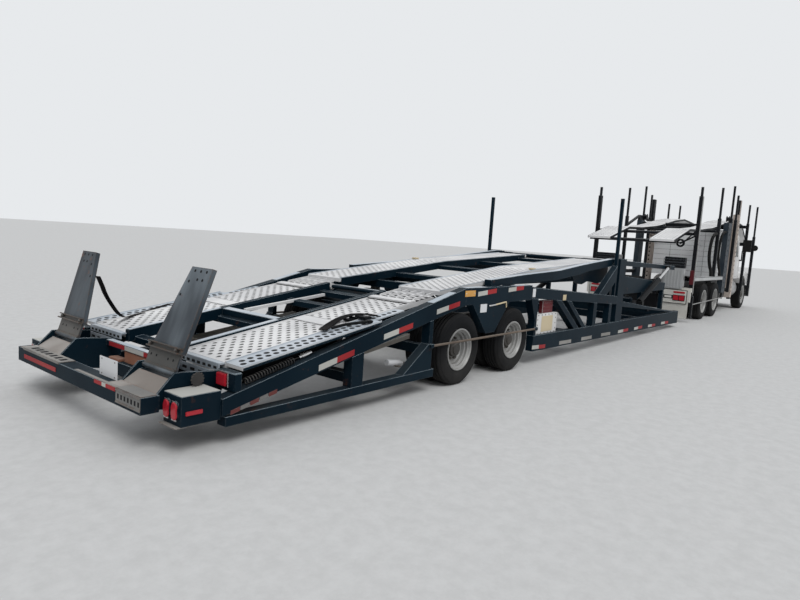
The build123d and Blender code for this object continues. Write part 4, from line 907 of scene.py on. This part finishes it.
blocks(dark, (-10.4052, -10.4038, 0.59, 0.65, 0.45, 0.472, 0.0005), count=4, step=(0, 0.11, 0))
blocks(reds, (-11.0045, -10.999, 0.28, 0.93, 0.318, 0.353, 0.001),
       (-11.004, -10.999, -0.52, -0.4, 0.372, 0.4, 0.001),
       (-11.004, -10.999, -0.72, -0.58, 0.372, 0.4, 0.001),
       (-10.4835, -10.48, 0.19, 0.47, 0.457, 0.495, 0.001),
       (-10.4835, -10.48, -0.19, -0.13, 0.457, 0.495, 0.001), sides=AS_GIVEN)
blocks(whites, (-11.004, -10.999, -0.58, -0.52, 0.372, 0.4, 0.001),
       (-10.4835, -10.48, -0.13, 0.19, 0.457, 0.495, 0.001), sides=AS_GIVEN)
blocks(whites, (-10.818, -10.515, 1.052, 1.268, 0.4205, 0.4235, 0.001))
blocks(plates, (-10.913, -10.91, -0.566, -0.29, 0.404, 0.549, 0.006), sides=AS_GIVEN)
for across in (-0.528, -0.328):
    for rise in (0.421, 0.532):
        steps.hexagon((-10.913, across, rise), (-1, 0, 0), 0.006, 0.003)
blocks(rust, (-10.474, -10.405, -0.16, 0.21, 0.346, 0.452, 0.006),
       (-10.51, -10.43, 0.24, 0.42, 0.346, 0.37, 0.004), sides=AS_GIVEN)
blocks(trays, (-11.0, -10.868, 0.547, 1.023, 0.4005, 0.4035, 0.001))
blocks(blues, (-10.478, -10.422, -0.528, 0.528, 0.4985, 0.502, 0.001), sides=AS_GIVEN)
blocks(blues, (-10.404, -10.398, 0.55, 1.02, 0.425, 0.497, 0.002))
blocks(brackets, (-10.415, -10.345, 1.07, 1.285, 0.388, 0.53, 0.006))
blocks(bezels, (-10.428, -10.414, 1.09, 1.225, 0.412, 0.528, 0.006))
blocks(bezels, (-10.838, -10.8315, 1.078, 1.138, 0.247, 0.259, 0.003),
       (-10.838, -10.8315, 1.078, 1.138, 0.371, 0.383, 0.003), count=2, step=(0, 0.1, 0))
blocks(lenses, (-10.446, -10.426, 1.102, 1.213, 0.424, 0.516, 0.012),
       (-10.79, -10.66, 1.27, 1.282, 0.285, 0.315, 0.008))
blocks(lenses, (-10.843, -10.832, 1.0745, 1.1415, 0.285, 0.345, 0.004), count=2, step=(0, 0.1, 0))
for side in MIRRORED:
    trays.bar((-10.868, 0.3905), (-10.735, 0.4715), band(side, 0.547, 1.023), 0, 0.002)
    for across in (1.108, 1.208):
        for height in (0.285, 0.345):
            lenses.turned(((0.0335, 0), (0.0335, 0.006), (0.027, 0.011), (0, 0.012)),
                          (-10.832, side * across, height), (-1, 0, 0), 24)
hand_over("trailer", (steps, "tail_steps", STEP_STEEL, "bare_steel"),
          (dark, "tail_slots", SHADOW, "frame_paint"), (reds, "tail_red_marks", SIGNAL_RED, "frame_paint"),
          (whites, "tail_white_marks", SIGNAL_WHITE, "frame_paint"),
          (plates, "blank_plate", PLATE_WHITE, "white_paint"), (rust, "latch_box", RUST_RED, "bare_steel"),
          (trays, "skid_faces", SKID_STEEL, "bare_steel"),
          (blues, "latch_bar_faces", STRIP_STEEL, "deck_steel"),
          (lenses, "tail_lenses", RED_LENS, "frame_paint"), (bezels, "lamp_bezels", CHROME, "bright_metal"),
          (brackets, "marker_brackets", CHASSIS_PAINT, "frame_paint"))
print("tail detailed")

# %% [markdown]
# ## The rear deck's own trim
# A light bar closes the rear edge of both runways, the inner rails are bright on top, partly
# from wear and partly as a painted sky highlight, and a plain plate crosses each runway
# where its two lengths of tread meet.

# %% Rear deck trim
trim, joints, edges, gaps, apron = (Kit() for _ in range(5))
blocks(trim, (-10.388, -10.333, 0.455, 1.052, 0.545, 0.56, 0.003),
       (-10.388, -10.378, 0.455, 1.052, 0.502, 0.55, 0.002))
# Bright tops of the inner rails and the crossbar: partly wear, partly a painted sky highlight.
strips(trim, REAR, (-10.32, -9.36, 0.422, 0.478, 0.0305, 0.002))
strips(trim, REAR, (-9.345, -9.275, -0.418, 0.418, 0.0225, 0.002), sides=AS_GIVEN)
blocks(gaps, (-10.389, -10.3878, 0.479, 0.521, 0.512, 0.533, 0.0004), count=8, step=(0, 0.072, 0))
strips(gaps, REAR, (-9.048, -9.028, 0.486, 1.054, 0.0035, 0.003),
       (-8.15, -8.132, 0.486, 1.054, 0.0035, 0.003))
strips(joints, REAR, (-9.2, -9.05, 0.485, 1.055, 0.006, 0.006), (-8.13, -8.05, 0.485, 1.055, 0.004, 0.018))
strips(edges, REAR, (-10.33, -8.1, 0.479, 0.487, 0.0, 0.012), (-10.33, -8.1, 1.049, 1.057, 0.0, 0.012))
apron.bar((-7.97, 0.775), (-7.69, 0.893), (-0.414, 0.414), 0, 0.008)
hand_over("rear_deck", (trim, "rear_deck_bright_faces", STRIP_STEEL, "deck_steel"), smooth=False)
hand_over("rear_deck", (apron, "rear_deck_apron", CHASSIS_PAINT, "frame_paint"))
hand_over("rear_deck", (gaps, "rear_deck_gaps", SHADOW, "frame_paint"),
          (joints, "rear_deck_joint_plates", TREAD_STEEL, "deck_steel"),
          (edges, "rear_deck_edges", TREAD_STEEL, "deck_steel"), smooth=False)
print("rear deck trimmed")

# %% [markdown]
# Small things hang about the tail: a strap ratchet on the outer cheek, a silver coupling on
# the side beam, worn patches of tape, hoses in dark trays that are painted shade under the
# outer strips, and a white canister above the low rail.

# %% Tail fittings
BEAM_LINE = ((-10.51, 0.36), (-7.42, 1.08))
HUB, TEETH = (-10.585, -1.026, 0.475), 14
iron, silver, worn, pale, canister, shade_tray = (Kit() for _ in range(6))
iron.turned(((0, 0), (0.048, 0), (0.048, 0.007), (0.026, 0.011), (0.026, 0.052), (0.048, 0.056),
             (0.048, 0.063), (0, 0.063)), HUB, (0, -1, 0), 28)
for k in range(TEETH):
    a = 2 * math.pi * k / TEETH
    iron.rod(on_disc(HUB, 1, 0.046, a, 0.056), on_disc(HUB, 1, 0.054, a, 0.063), 0.005, 6)
for k in range(4):
    ring = 0.03 + 0.0025 * k
    silver.turned(((ring, 0), (ring, 0.006)), (HUB[0], HUB[1] - 0.014 - 0.009 * k, HUB[2]), (0, -1, 0), 24)
canister.turned(((0, 0), (0.03, 0), (0.034, 0.006), (0.034, 0.2), (0.028, 0.21), (0.018, 0.215),
                 (0.018, 0.245), (0, 0.245)), (-8.49, -1.1, 0.345), (1, 0, -0.13), 28)
iron.rod((-8.26, -1.1, 0.315), (-8.03, -1.12, 0.29), 0.012)
iron.block((-8.4, -1.19, 0.3), (-8.36, -1.1, 0.312), 0.002)


def beam_top(x):
    """The top of the inclined side beam at x."""
    return on_line(BEAM_LINE, x)


for side in MIRRORED:
    for k, kit in enumerate((worn, pale, worn, pale, worn)):
        x, z = -10.44 + 0.085 * k, 0.232 + 0.085 * k * 0.225
        kit.bar((x, z), (x + 0.08, z + 0.018), band(side, 1.2902, 1.2912), 0, 0.032)
# Dark trays with walls under the outer strips: painted shade that hides the pale floor below, with hoses laid
# in them.
for start, end in ((-10.32, -9.2), (-9.02, -8.62)):
    strips(shade_tray, BEAM_LINE, (start, end, 1.093, 1.189, -0.125, 0.008))
    for side in MIRRORED:
        low = [(x, beam_top(x) - 0.125) for x in (start, end)]
        high = [(x, on_line(REAR, x) - 0.072) for x in (end, start)]
        shade_tray.prism(low + high, band(side, 1.085, 1.093))
        for across, lift in ((1.112, -0.05), (1.145, -0.085), (1.17, -0.055)):
            shade_tray.rod(*((x, side * across, beam_top(x) + lift) for x in (start + 0.01, end - 0.01)), 0.015)
hand_over("trailer", (shade_tray, "hose_trays", BARREL_BLACK, "frame_paint"),
          (iron, "tail_ironwork", HUB_IRON, "frame_paint"),
          (silver, "tail_couplings", CHROME, "bright_metal"),
          (worn, "tail_worn_tape", WORN_RED, "frame_paint"),
          (pale, "tail_pale_tape", STEP_STEEL, "frame_paint"),
          (canister, "tail_canister", PLATE_WHITE, "white_paint"))
print("tail fittings done")

# %% [markdown]
# ## Bright top faces
# Decks are walked on, dragged over and rained on, so their top faces wear bright while the
# webs stay dark, and the tops also catch the sky. Thin light strips on the frame's own top
# lines say that better than edge wear: they are partly wear and partly a painted sky
# highlight. Dark plates in the comb and under the mid deck's inner edges are painted shade.

# %% Bright faces
MID_SIDE = ((-6.72, 1.15), (-5.9, 1.205), (-4.8, 1.262), (-4.00, 1.345), (-2.7, 1.46), (-2.395, 1.46))
FRONT_SIDE = ((-2.54, 1.45), (1.74, 1.35))
comb_shade, comb_light, mid_light, shade_skirts, slung, side_light, front_light = (Kit() for _ in range(7))
# A dark plate over the tread between the comb bars: painted shade of open gaps.
strips(comb_shade, REAR, (-8.035, -7.765, 0.486, 1.054, 0.002, 0.003))
strips(comb_light, REAR, (-8.06, -8.02, 0.486, 1.054, 0.004, 0.012),
       (-7.795, -7.755, 0.486, 1.054, 0.004, 0.008), (-7.955, -7.93, 0.486, 1.054, 0.005, 0.003),
       (-7.875, -7.85, 0.486, 1.054, 0.005, 0.003),
       *((-8.03, -7.77, 0.528 + 0.115 * k, 0.552 + 0.115 * k, 0.005, 0.0045) for k in range(5)))
# Bright top strips: partly wear, partly a painted sky highlight.
strips(mid_light, MID_SIDE,
       *((a, b, 1.088, 1.177, 0.0006, 0.0015) for (a, _), (b, _) in zip(MID_SIDE, MID_SIDE[1:])))
for start, end in ((-7.6, -5.32), (-5.32, -2.68)):
    strips(mid_light, MID, (start, end, 0.479, 0.487, 0.0, 0.01), (start, end, 1.052, 1.06, 0.0, 0.01))
# Dark skirts under the runways' inner edges: painted shade that hides the pale floor between the runways.
strips(shade_skirts, MID, (-7.58, -5.32, 0.473, 0.4785, -0.1, 0.102),
       (-5.32, -2.72, 0.473, 0.4785, -0.1, 0.102))
strips(slung, ((-9.15, 0.708), (-7.95, 0.842)), (-9.15, -8.02, 0.3, 0.335, 0.0, 0.03))
strips(side_light, BEAM_LINE, (-8.02, -7.62, 1.2, 1.284, 0.0006, 0.0015))
blocks(side_light, (-7.4, -6.98, 1.2, 1.284, 1.0805, 1.0822, 0.0004),
       (-6.3, -5.95, 1.2, 1.284, 1.0805, 1.0822, 0.0004))
blocks(side_light, (-7.634, -7.586, -1.05, 1.05, 0.9405, 0.942, 0.0004), sides=AS_GIVEN)
strips(front_light, FRONT_SIDE, (-2.53, 1.73, 0.965, 1.036, 0.0006, 0.0015))
hand_over("rear_deck", (comb_shade, "comb_well", SHADOW, "deck_steel"),
          (comb_light, "comb_bars", TREAD_STEEL, "deck_steel"), smooth=False)
hand_over("mid_deck", (mid_light, "mid_deck_bright_faces", STRIP_STEEL, "deck_steel"),
          (shade_skirts, "mid_deck_skirts", CHASSIS_PAINT, "deck_steel"), smooth=False)
hand_over("rear_deck", (slung, "slung_rails", TREAD_STEEL, "deck_steel"), smooth=False)
hand_over("trailer", (side_light, "side_beam_bright_faces", STRIP_STEEL, "deck_steel"), smooth=False)
hand_over("front_deck", (front_light, "front_deck_bright_faces", STRIP_STEEL, "deck_steel"), smooth=False)
print("bright faces done")

# %% [markdown]
# ## Marks and boxes along the side
# The side carries an amber reflector, blank tags, a maroon box above a white panel with a
# cream centre, and a rusty guard rod past the wheels. Labels keep their place and colour
# and stay blank.

# %% Side marks
ambers, tags, creams, maroons, guard, dots, brights, rams = (Kit() for _ in range(8))
SKIN = (1.2903, 1.2945)
BOX_RIBS = (0.715, 0.77, 0.822)
PANEL_DOTS = [(-5.5 + 0.105 * k, z) for k in range(6) for z in (0.405, 0.658)]
PANEL_DOTS += [(x, 0.45 + 0.075 * k) for k in range(3) for x in (-5.52, -4.96)]
blocks(ambers, (-7.45, -7.24, *SKIN, 0.985, 1.052, 0.002))
blocks(tags, (-7.11, -6.97, *SKIN, 0.792, 0.888, 0.002), (-5.83, -5.75, *SKIN, 0.925, 1.035, 0.002))
blocks(creams, (-4.87, -4.76, *SKIN, 0.845, 0.925, 0.002),
       (-5.4, -5.05, 1.2452, 1.2475, 0.425, 0.64, 0.001), (-5.43, -5.31, 0.99, 1.05, 1.262, 1.285, 0.008))
blocks(maroons, (-5.406, -5.094, 1.188, 1.2492, 0.677, 0.86, 0.008),
       *((-5.395, -5.105, 1.249, 1.2535, z - 0.008, z + 0.008, 0.002) for z in BOX_RIBS))
for side in MIRRORED:
    y = side * 1.298
    for x, z in PANEL_DOTS:
        dots.disc((x, side * 1.2458, z), (0, side, 0), 0.01, 12)
    brights.rod((-6.93, y, 0.862), (-6.78, y, 0.87), 0.011)
    creams.rod((-6.78, y, 0.87), (-6.53, y, 0.893), 0.009)
    creams.rod((-6.53, y, 0.893), (-6.52, y, 0.825), 0.008)
    for bolt in (-7.43, -7.26):
        brights.hexagon((bolt, side * 1.2944, 1.018), (0, side, 0), 0.008, 0.004)
    guard.rod((-8.005, side * 1.308, 0.5), (-5.725, side * 1.308, 0.5), 0.0128, 16)
    rams.rod((0.302, side * 1.11, 1.0607), (0.94, side * 1.11, 1.2995), 0.0312, 24)
hand_over("trailer", (ambers, "side_ambers", AMBER, "frame_paint"),
          (tags, "side_tags", PLATE_WHITE, "white_paint"), (creams, "side_labels", CREAM, "white_paint"),
          (maroons, "side_box_skin", MAROON, "frame_paint"),
          (guard, "guard_rod_skin", ROD_RUST, "bare_steel"), (dots, "side_panel_dots", SHADOW, "frame_paint"),
          (brights, "side_bright_bits", CHROME, "bright_metal"),
          (rams, "deck_ram_sleeves", CHROME, "bright_metal"))
print("side marks done")

# %% [markdown]
# ## The back of the tractor
# Under the rack a pale panel carries the lamps, a red bar and an oval ring, and a ribbed
# grey locker stands above it with a black block on top. All of them face the trailer.

# %% Rear panel
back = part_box("truck_mud_flaps")[0][0] - 0.001
pale, dark, lamps, ribs, maroons = (Kit() for _ in range(5))
blocks(pale, (back - 0.018, back - 0.01, 0.625, 1.185, 0.46, 0.77, 0.003),
       (back - 0.028, back - 0.023, 0.695, 0.855, 0.575, 0.625, 0.02))
blocks(dark, (back - 0.012, back, 0.61, 1.2, 0.445, 0.785, 0.004),
       (back - 0.024, back - 0.017, 0.67, 0.88, 0.555, 0.645, 0.03),
       (back - 0.024, back - 0.017, 0.882, 1.158, 0.515, 0.658, 0.006),
       (2.45, 2.6, 0.61, 1.08, 1.3, 1.56, 0.01))
blocks(dark, (2.442, 2.452, 0.604, 1.086, 1.353, 1.377, 0.004), count=3, step=(0, 0, 0.065))
blocks(lamps, (back - 0.028, back - 0.017, 0.89, 1.15, 0.7, 0.742, 0.006))
blocks(lamps, (back - 0.04, back - 0.023, 0.898, 1.012, 0.53, 0.645, 0.012), count=2, step=(0, 0.13, 0))
blocks(ribs, (2.452, 2.492, 0.62, 1.07, 0.8, 1.3, 0.006))
blocks(ribs, (2.438, 2.455, 0.651, 0.679, 0.83, 1.28, 0.006), count=6, step=(0, 0.072, 0))
blocks(maroons, (2.596, 2.638, 1.175, 1.27, 0.92, 1.27, 0.016))
hand_over("truck", (pale, "rear_panel", FLAP_SHEET, "white_paint"),
          (dark, "rear_panel_black", BLACK_PAINT, "frame_paint"),
          (lamps, "rear_lamps", RED_LENS, "frame_paint"), (ribs, "rear_locker", LOCKER_GREY, "white_paint"),
          (maroons, "post_wrap", MAROON, "frame_paint"))
print("rear panel at x", round(back, 3))

# %% [markdown]
# ## Masts, posts and runway edges
# The masts are not all black: the tall screw mast is a worn pinkish beige with a row of
# slots, the column before it is blue-grey, and the jack tube on the first post is bare
# steel. Black edges close the rack's runways.

# %% Rack details
mast, column, jack, dark, slots, sills, seams, mirrors = (Kit() for _ in range(8))
blocks(mast, (7.172, 7.388, -1.2635, -1.105, 0.45, 2.92, 0.008),
       (7.172, 7.388, 1.105, 1.2635, 0.45, 2.45, 0.008), (7.225, 7.335, -1.2635, -1.175, 2.9, 3.335, 0.008),
       sides=AS_GIVEN)
blocks(dark, (7.225, 7.335, 1.175, 1.2635, 2.9, 3.335, 0.008),
       (6.315, 6.385, 1.11, 1.178, 2.68, 2.78, 0.006), (6.315, 6.385, -1.158, -1.09, 2.68, 2.78, 0.006),
       sides=AS_GIVEN)
blocks(dark, (2.665, 2.735, 1.235, 1.29, 0.1, 0.645, 0.004),
       (5.945, 6.015, 1.235, 1.29, 0.47, 0.645, 0.004))
blocks(column, (5.924, 6.296, 1.125, 1.2635, 0.63, 2.605, 0.01))
blocks(slots, (7.1705, 7.1716, 1.162, 1.206, 0.62, 0.665, 0), (7.25, 7.31, 1.264, 1.2648, 0.62, 0.665, 0),
       count=17, step=(0, 0, 0.13))
blocks(slots, (6.07, 6.15, 1.264, 1.2648, 0.75, 0.8, 0), count=12, step=(0, 0, 0.15))
blocks(jack, (2.652, 2.742, 1.2602, 1.2665, 1.9, 3.025, 0.003),
       (2.665, 2.725, 1.2602, 1.2665, 0.7, 1.88, 0.003))
blocks(sills, (2.76, 5.92, 1.178, 1.262, 1.1003, 1.104, 0.001),
       (2.76, 5.92, 1.2603, 1.2625, 1.012, 1.088, 0.001))
blocks(seams, (6.897, 6.8995, -0.958, 0.958, 1.16, 1.165, 0), sides=AS_GIVEN, count=8, step=(0, 0, 0.155))
blocks(seams, (6.8965, 6.899, 0.477, 0.483, 1.02, 2.42, 0))
for side in MIRRORED:
    dark.turned(((0, 0), (0.085, 0), (0.085, 0.012), (0.055, 0.018), (0.055, 0.058), (0.085, 0.064),
                 (0.085, 0.078), (0, 0.078)), (6.34, side * 1.178, 2.73), (0, -side, 0))
    jack.rod((2.7, side * 1.281, 0.445), (5.98, side * 1.281, 0.5), 0.012, 16)
    mirrors.turned(((0, 0.022), (0.06, 0.018), (0.094, 0.004), (0.098, 0), (0.09, -0.004), (0, -0.005)),
                   (10.3, side * 1.293, 2.02), (1, 0, 0))
    dark.rod((10.345, side * 1.24, 2.02), (10.315, side * 1.293, 2.02), 0.01)
for start, end, below in (((4.9, 2.42), (5.93, 2.76), -0.06), ((5.93, 2.76), (6.3, 2.76), -0.17),
                          ((6.3, 2.76), (7.66, 2.55), -0.06)):
    dark.bar(start, end, (1.19, 1.25), below, 0)
PULLEY = (2.63, -0.885, 1.905)
dark.turned(((0.055, 0), (0.098, 0.004), (0.098, 0.016), (0.08, 0.022), (0.098, 0.028), (0.098, 0.04),
             (0.055, 0.044), (0.055, 0)), PULLEY, (-1, 0, 0))
dark.turned(((0, 0.006), (0.026, 0.006), (0.026, 0.056), (0, 0.056)), PULLEY, (-1, 0, 0), 24)
for start, end, radius in (((2.606, -0.885, 1.905), (2.64, -1.215, 2.1), 0.02),
                           ((2.606, -1.00, 1.975), (2.645, -1.215, 2.235), 0.016),
                           ((2.606, -0.8, 1.905), (2.606, -0.97, 1.905), 0.014),
                           ((2.64, 1.215, 2.12), (2.615, 1.045, 2.08), 0.018),
                           ((2.615, 1.045, 2.08), (2.612, 1.03, 1.9), 0.024)):
    dark.rod(start, end, radius)
hand_over("truck", (mast, "screw_masts", MAST_PAINT, "frame_paint"),
          (column, "rack_columns", COLUMN_BLUE, "frame_paint"),
          (jack, "jack_tubes", RIM_STEEL, "bright_metal"),
          (dark, "rack_ironwork", BLACK_PAINT, "frame_paint"), (slots, "mast_slots", SHADOW, "frame_paint"),
          (sills, "rack_sill_faces", LOCKER_GREY, "white_paint"),
          (seams, "sleeper_seams", TRIM, "white_paint"),
          (mirrors, "round_mirrors", BLACK_PLASTIC, "black_plastic"))
for name, body, line in (("rack_rear_edges", "rack_rear_deck", RACK_REAR),
                         ("rack_front_edges", "truck", RACK_FRONT)):
    kit = Kit()
    for side in MIRRORED:
        for start, end in zip(line, line[1:]):
            kit.bar(start, end, band(side, 0.448, 0.462), -0.055, 0)
            kit.bar(start, end, band(side, 1.005, 1.019), -0.055, 0)
    hand_over(body, (kit, name, BLACK_PAINT, "frame_paint"), smooth=False)
print("rack detailed")

# %% [markdown]
# ## Straps, a curly line and hoses
# Loose things tell that the truck is in use: a webbing strap hangs from the left flap and
# lies over the deck, another lies bunched on the right runway, a curly electric line rests
# on the side beam, and two black hoses hang between the rack's posts and its sills. Each one
# follows a smooth route of a few points, and its length is printed.

# %% Straps and lines


def route(points):
    """A smooth open spline through the air, as curve data."""
    data = bpy.data.curves.new("route", "CURVE")
    data.dimensions = "3D"
    spline = data.splines.new("NURBS")
    spline.points.add(len(points) - 1)
    for point, place in zip(spline.points, points):
        point.co = (*place, 1)
    spline.order_u = 3
    spline.use_endpoint_u = True
    data.resolution_u = 4
    return data


def walked(points):
    """The points that the route's spline passes through, and their total length."""
    holder = bpy.data.objects.new("walk", route(points))
    scene.collection.objects.link(holder)
    bpy.context.view_layer.update()
    data = bpy.data.meshes.new_from_object(holder.evaluated_get(bpy.context.evaluated_depsgraph_get()))
    trail = [v.co.copy() for v in data.vertices]
    bpy.data.objects.remove(holder)
    return trail, sum((b - a).length for a, b in zip(trail, trail[1:]))


def strap(name, body, trail, width, thick, material):
    """A flat strap along a line of points, level across its width."""
    kit = Kit()
    rings = []
    for i, spot in enumerate(trail):
        run = (trail[min(i + 1, len(trail) - 1)] - trail[max(i - 1, 0)]).normalized()
        level = run.cross(Vector((0, 0, 1))).normalized() * width / 2
        out = run.cross(level).normalized() * thick / 2
        corners = (spot + a * level + b * out for a, b in ((-1, -1), (1, -1), (1, 1), (-1, 1)))
        rings.append([kit.mesh.verts.new(corner) for corner in corners])
    faces = [kit.mesh.faces.new(rings[0]), kit.mesh.faces.new(rings[-1])]
    for first, second in zip(rings, rings[1:]):
        for k in range(4):
            n = (k + 1) % 4
            faces.append(kit.mesh.faces.new((first[k], first[n], second[n], second[k])))
    bmesh.ops.recalc_face_normals(kit.mesh, faces=faces)
    return kit.piece(name, body, material)


def hose(name, body, points, diameter, material):
    """A round line along a route, as one curve."""
    data = route(points)
    data.bevel_depth, data.bevel_resolution, data.use_fill_caps = diameter / 2, 2, True
    data.materials.append(material)
    made = bpy.data.objects.new(name, data)
    scene.collection.objects.link(made)
    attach(made, body)
    return made


FLAP_STRAP = ((-10.52, 0.625, 1.06), (-10.47, 0.66, 0.985), (-10.42, 0.7, 0.89), (-10.33, 0.76, 0.78),
              (-10.22, 0.85, 0.67), (-10.1, 0.94, 0.612), (-9.98, 1.02, 0.624), (-9.82, 1.08, 0.649),
              (-9.62, 1.15, 0.68), (-9.5, 1.18, 0.699))
DECK_STRAP = ((-9.367, -1.08, 0.739), (-9.27, -1.035, 0.755), (-9.18, -0.995, 0.77), (-9.07, -0.975, 0.8),
              (-8.96, -0.965, 0.822), (-8.86, -0.985, 0.836), (-8.79, -1.03, 0.838), (-8.755, -1.09, 0.838),
              (-8.752, -1.15, 0.834))
for name, points, width, thick, lay in (("flap_strap", FLAP_STRAP, 0.045, 0.003, "hanging"),
                                        ("deck_strap", DECK_STRAP, 0.075, 0.008, "loose")):
    trail, length = walked(points)
    made = strap(name, "rear_deck", trail, width, thick, WEBBING)
    print(name, round(length, 3))

# %% [markdown]
# The strap on the runway ends in a ratchet whose handle is a bent rod along the deck.

# %% Ratchet
HANDLE = ((-9.29, -1.112), (-9.144, -1.131), (-9.044, -1.183), (-8.965, -1.24))
HANDLE_FOOT, HANDLE_RISE, DECK_RISE = -9.28, 0.755, 0.157
buckle = Kit()
blocks(buckle, (-9.00, -8.78, -1.045, -0.955, 0.7815, 0.8, 0.006),
       (-8.9, -8.8, -1.15, -1.01, 0.808, 0.83, 0.006),
       (-8.97, -8.9, -1.255, -1.195, 0.79, 0.816, 0.006), sides=AS_GIVEN)
buckle.rod((-8.9, -1.05, 0.806), (-8.9, -0.95, 0.806), 0.012)
bends = [(x, y, HANDLE_RISE + DECK_RISE * (x - HANDLE_FOOT)) for x, y in HANDLE]
for start, end in zip(bends, bends[1:]):
    buckle.rod(start, end, 0.014)
hand_over("rear_deck", (buckle, "strap_buckle", BARREL_BLACK, "frame_paint"))
print("ratchet done")

# %% [markdown]
# The curly line is a helix that follows the beam's top, with a plain tail and a plug.

# %% Curly line and hoses
COIL, COIL_PITCH, TURNS, STEPS = 0.026, 0.026, 18, 12
LINE_WIDTH = 0.009


def over_beam(x, y, lift):
    """A point above the side beam's top."""
    return x, y, beam_top(x) + lift


START = ((-10.335, 0.001), (-10.335, 0.018), (-10.335, 0.036), (-10.315, 0.05))
END = ((-9.8, -1.222, 0.028), (-9.77, -1.217, 0.024), (-9.746, -1.216, 0.023))
COIL_START, COIL_Y = -10.29, -1.236
curl = [over_beam(x, COIL_Y, lift) for x, lift in START]
for k in range(STEPS * TURNS + 1):
    a = 2 * math.pi * k / STEPS
    x = COIL_START + COIL_PITCH * k / STEPS
    curl.append(over_beam(x, COIL_Y + COIL * math.cos(a), COIL + 0.006 + COIL * math.sin(a)))
curl += [over_beam(*place) for place in END]
made = hose("curly_line", "trailer", curl, LINE_WIDTH, CABLE)
length = walked(curl)[1]
plug = Kit()
slope = (BEAM_LINE[1][1] - BEAM_LINE[0][1]) / (BEAM_LINE[1][0] - BEAM_LINE[0][0])
plug.turned(((0, 0), (0.014, 0), (0.016, 0.004), (0.016, 0.024), (0.021, 0.028), (0.021, 0.104),
             (0.017, 0.108), (0.017, 0.13), (0, 0.132)), over_beam(-9.747, -1.216, 0.023), (1, 0, slope), 24)
plug = plug.piece("curly_line_plug", "trailer", CHROME)
print("curly line", round(length, 3))

REAR_HOSE = ((4.838, -1.2, 2.24), (4.74, -1.19, 2.245), (4.64, -1.16, 2.17), (4.6, -1.13, 1.95),
             (4.62, -1.12, 1.65), (4.66, -1.15, 1.38), (4.68, -1.2, 1.24), (4.68, -1.205, 1.105))
FRONT_HOSE = ((5.925, -1.2, 2.34), (5.83, -1.19, 2.345), (5.74, -1.16, 2.27), (5.7, -1.13, 2.05),
              (5.7, -1.12, 1.7), (5.73, -1.15, 1.4), (5.75, -1.2, 1.24), (5.75, -1.205, 1.105))
for name, diameter, points in (("rack_hose_rear", 0.085, REAR_HOSE), ("rack_hose_front", 0.07, FRONT_HOSE)):
    made = hose(name, "truck", points, diameter, BLACK_PLASTIC)
    length = walked(points)[1]
    print(name, round(length, 3))
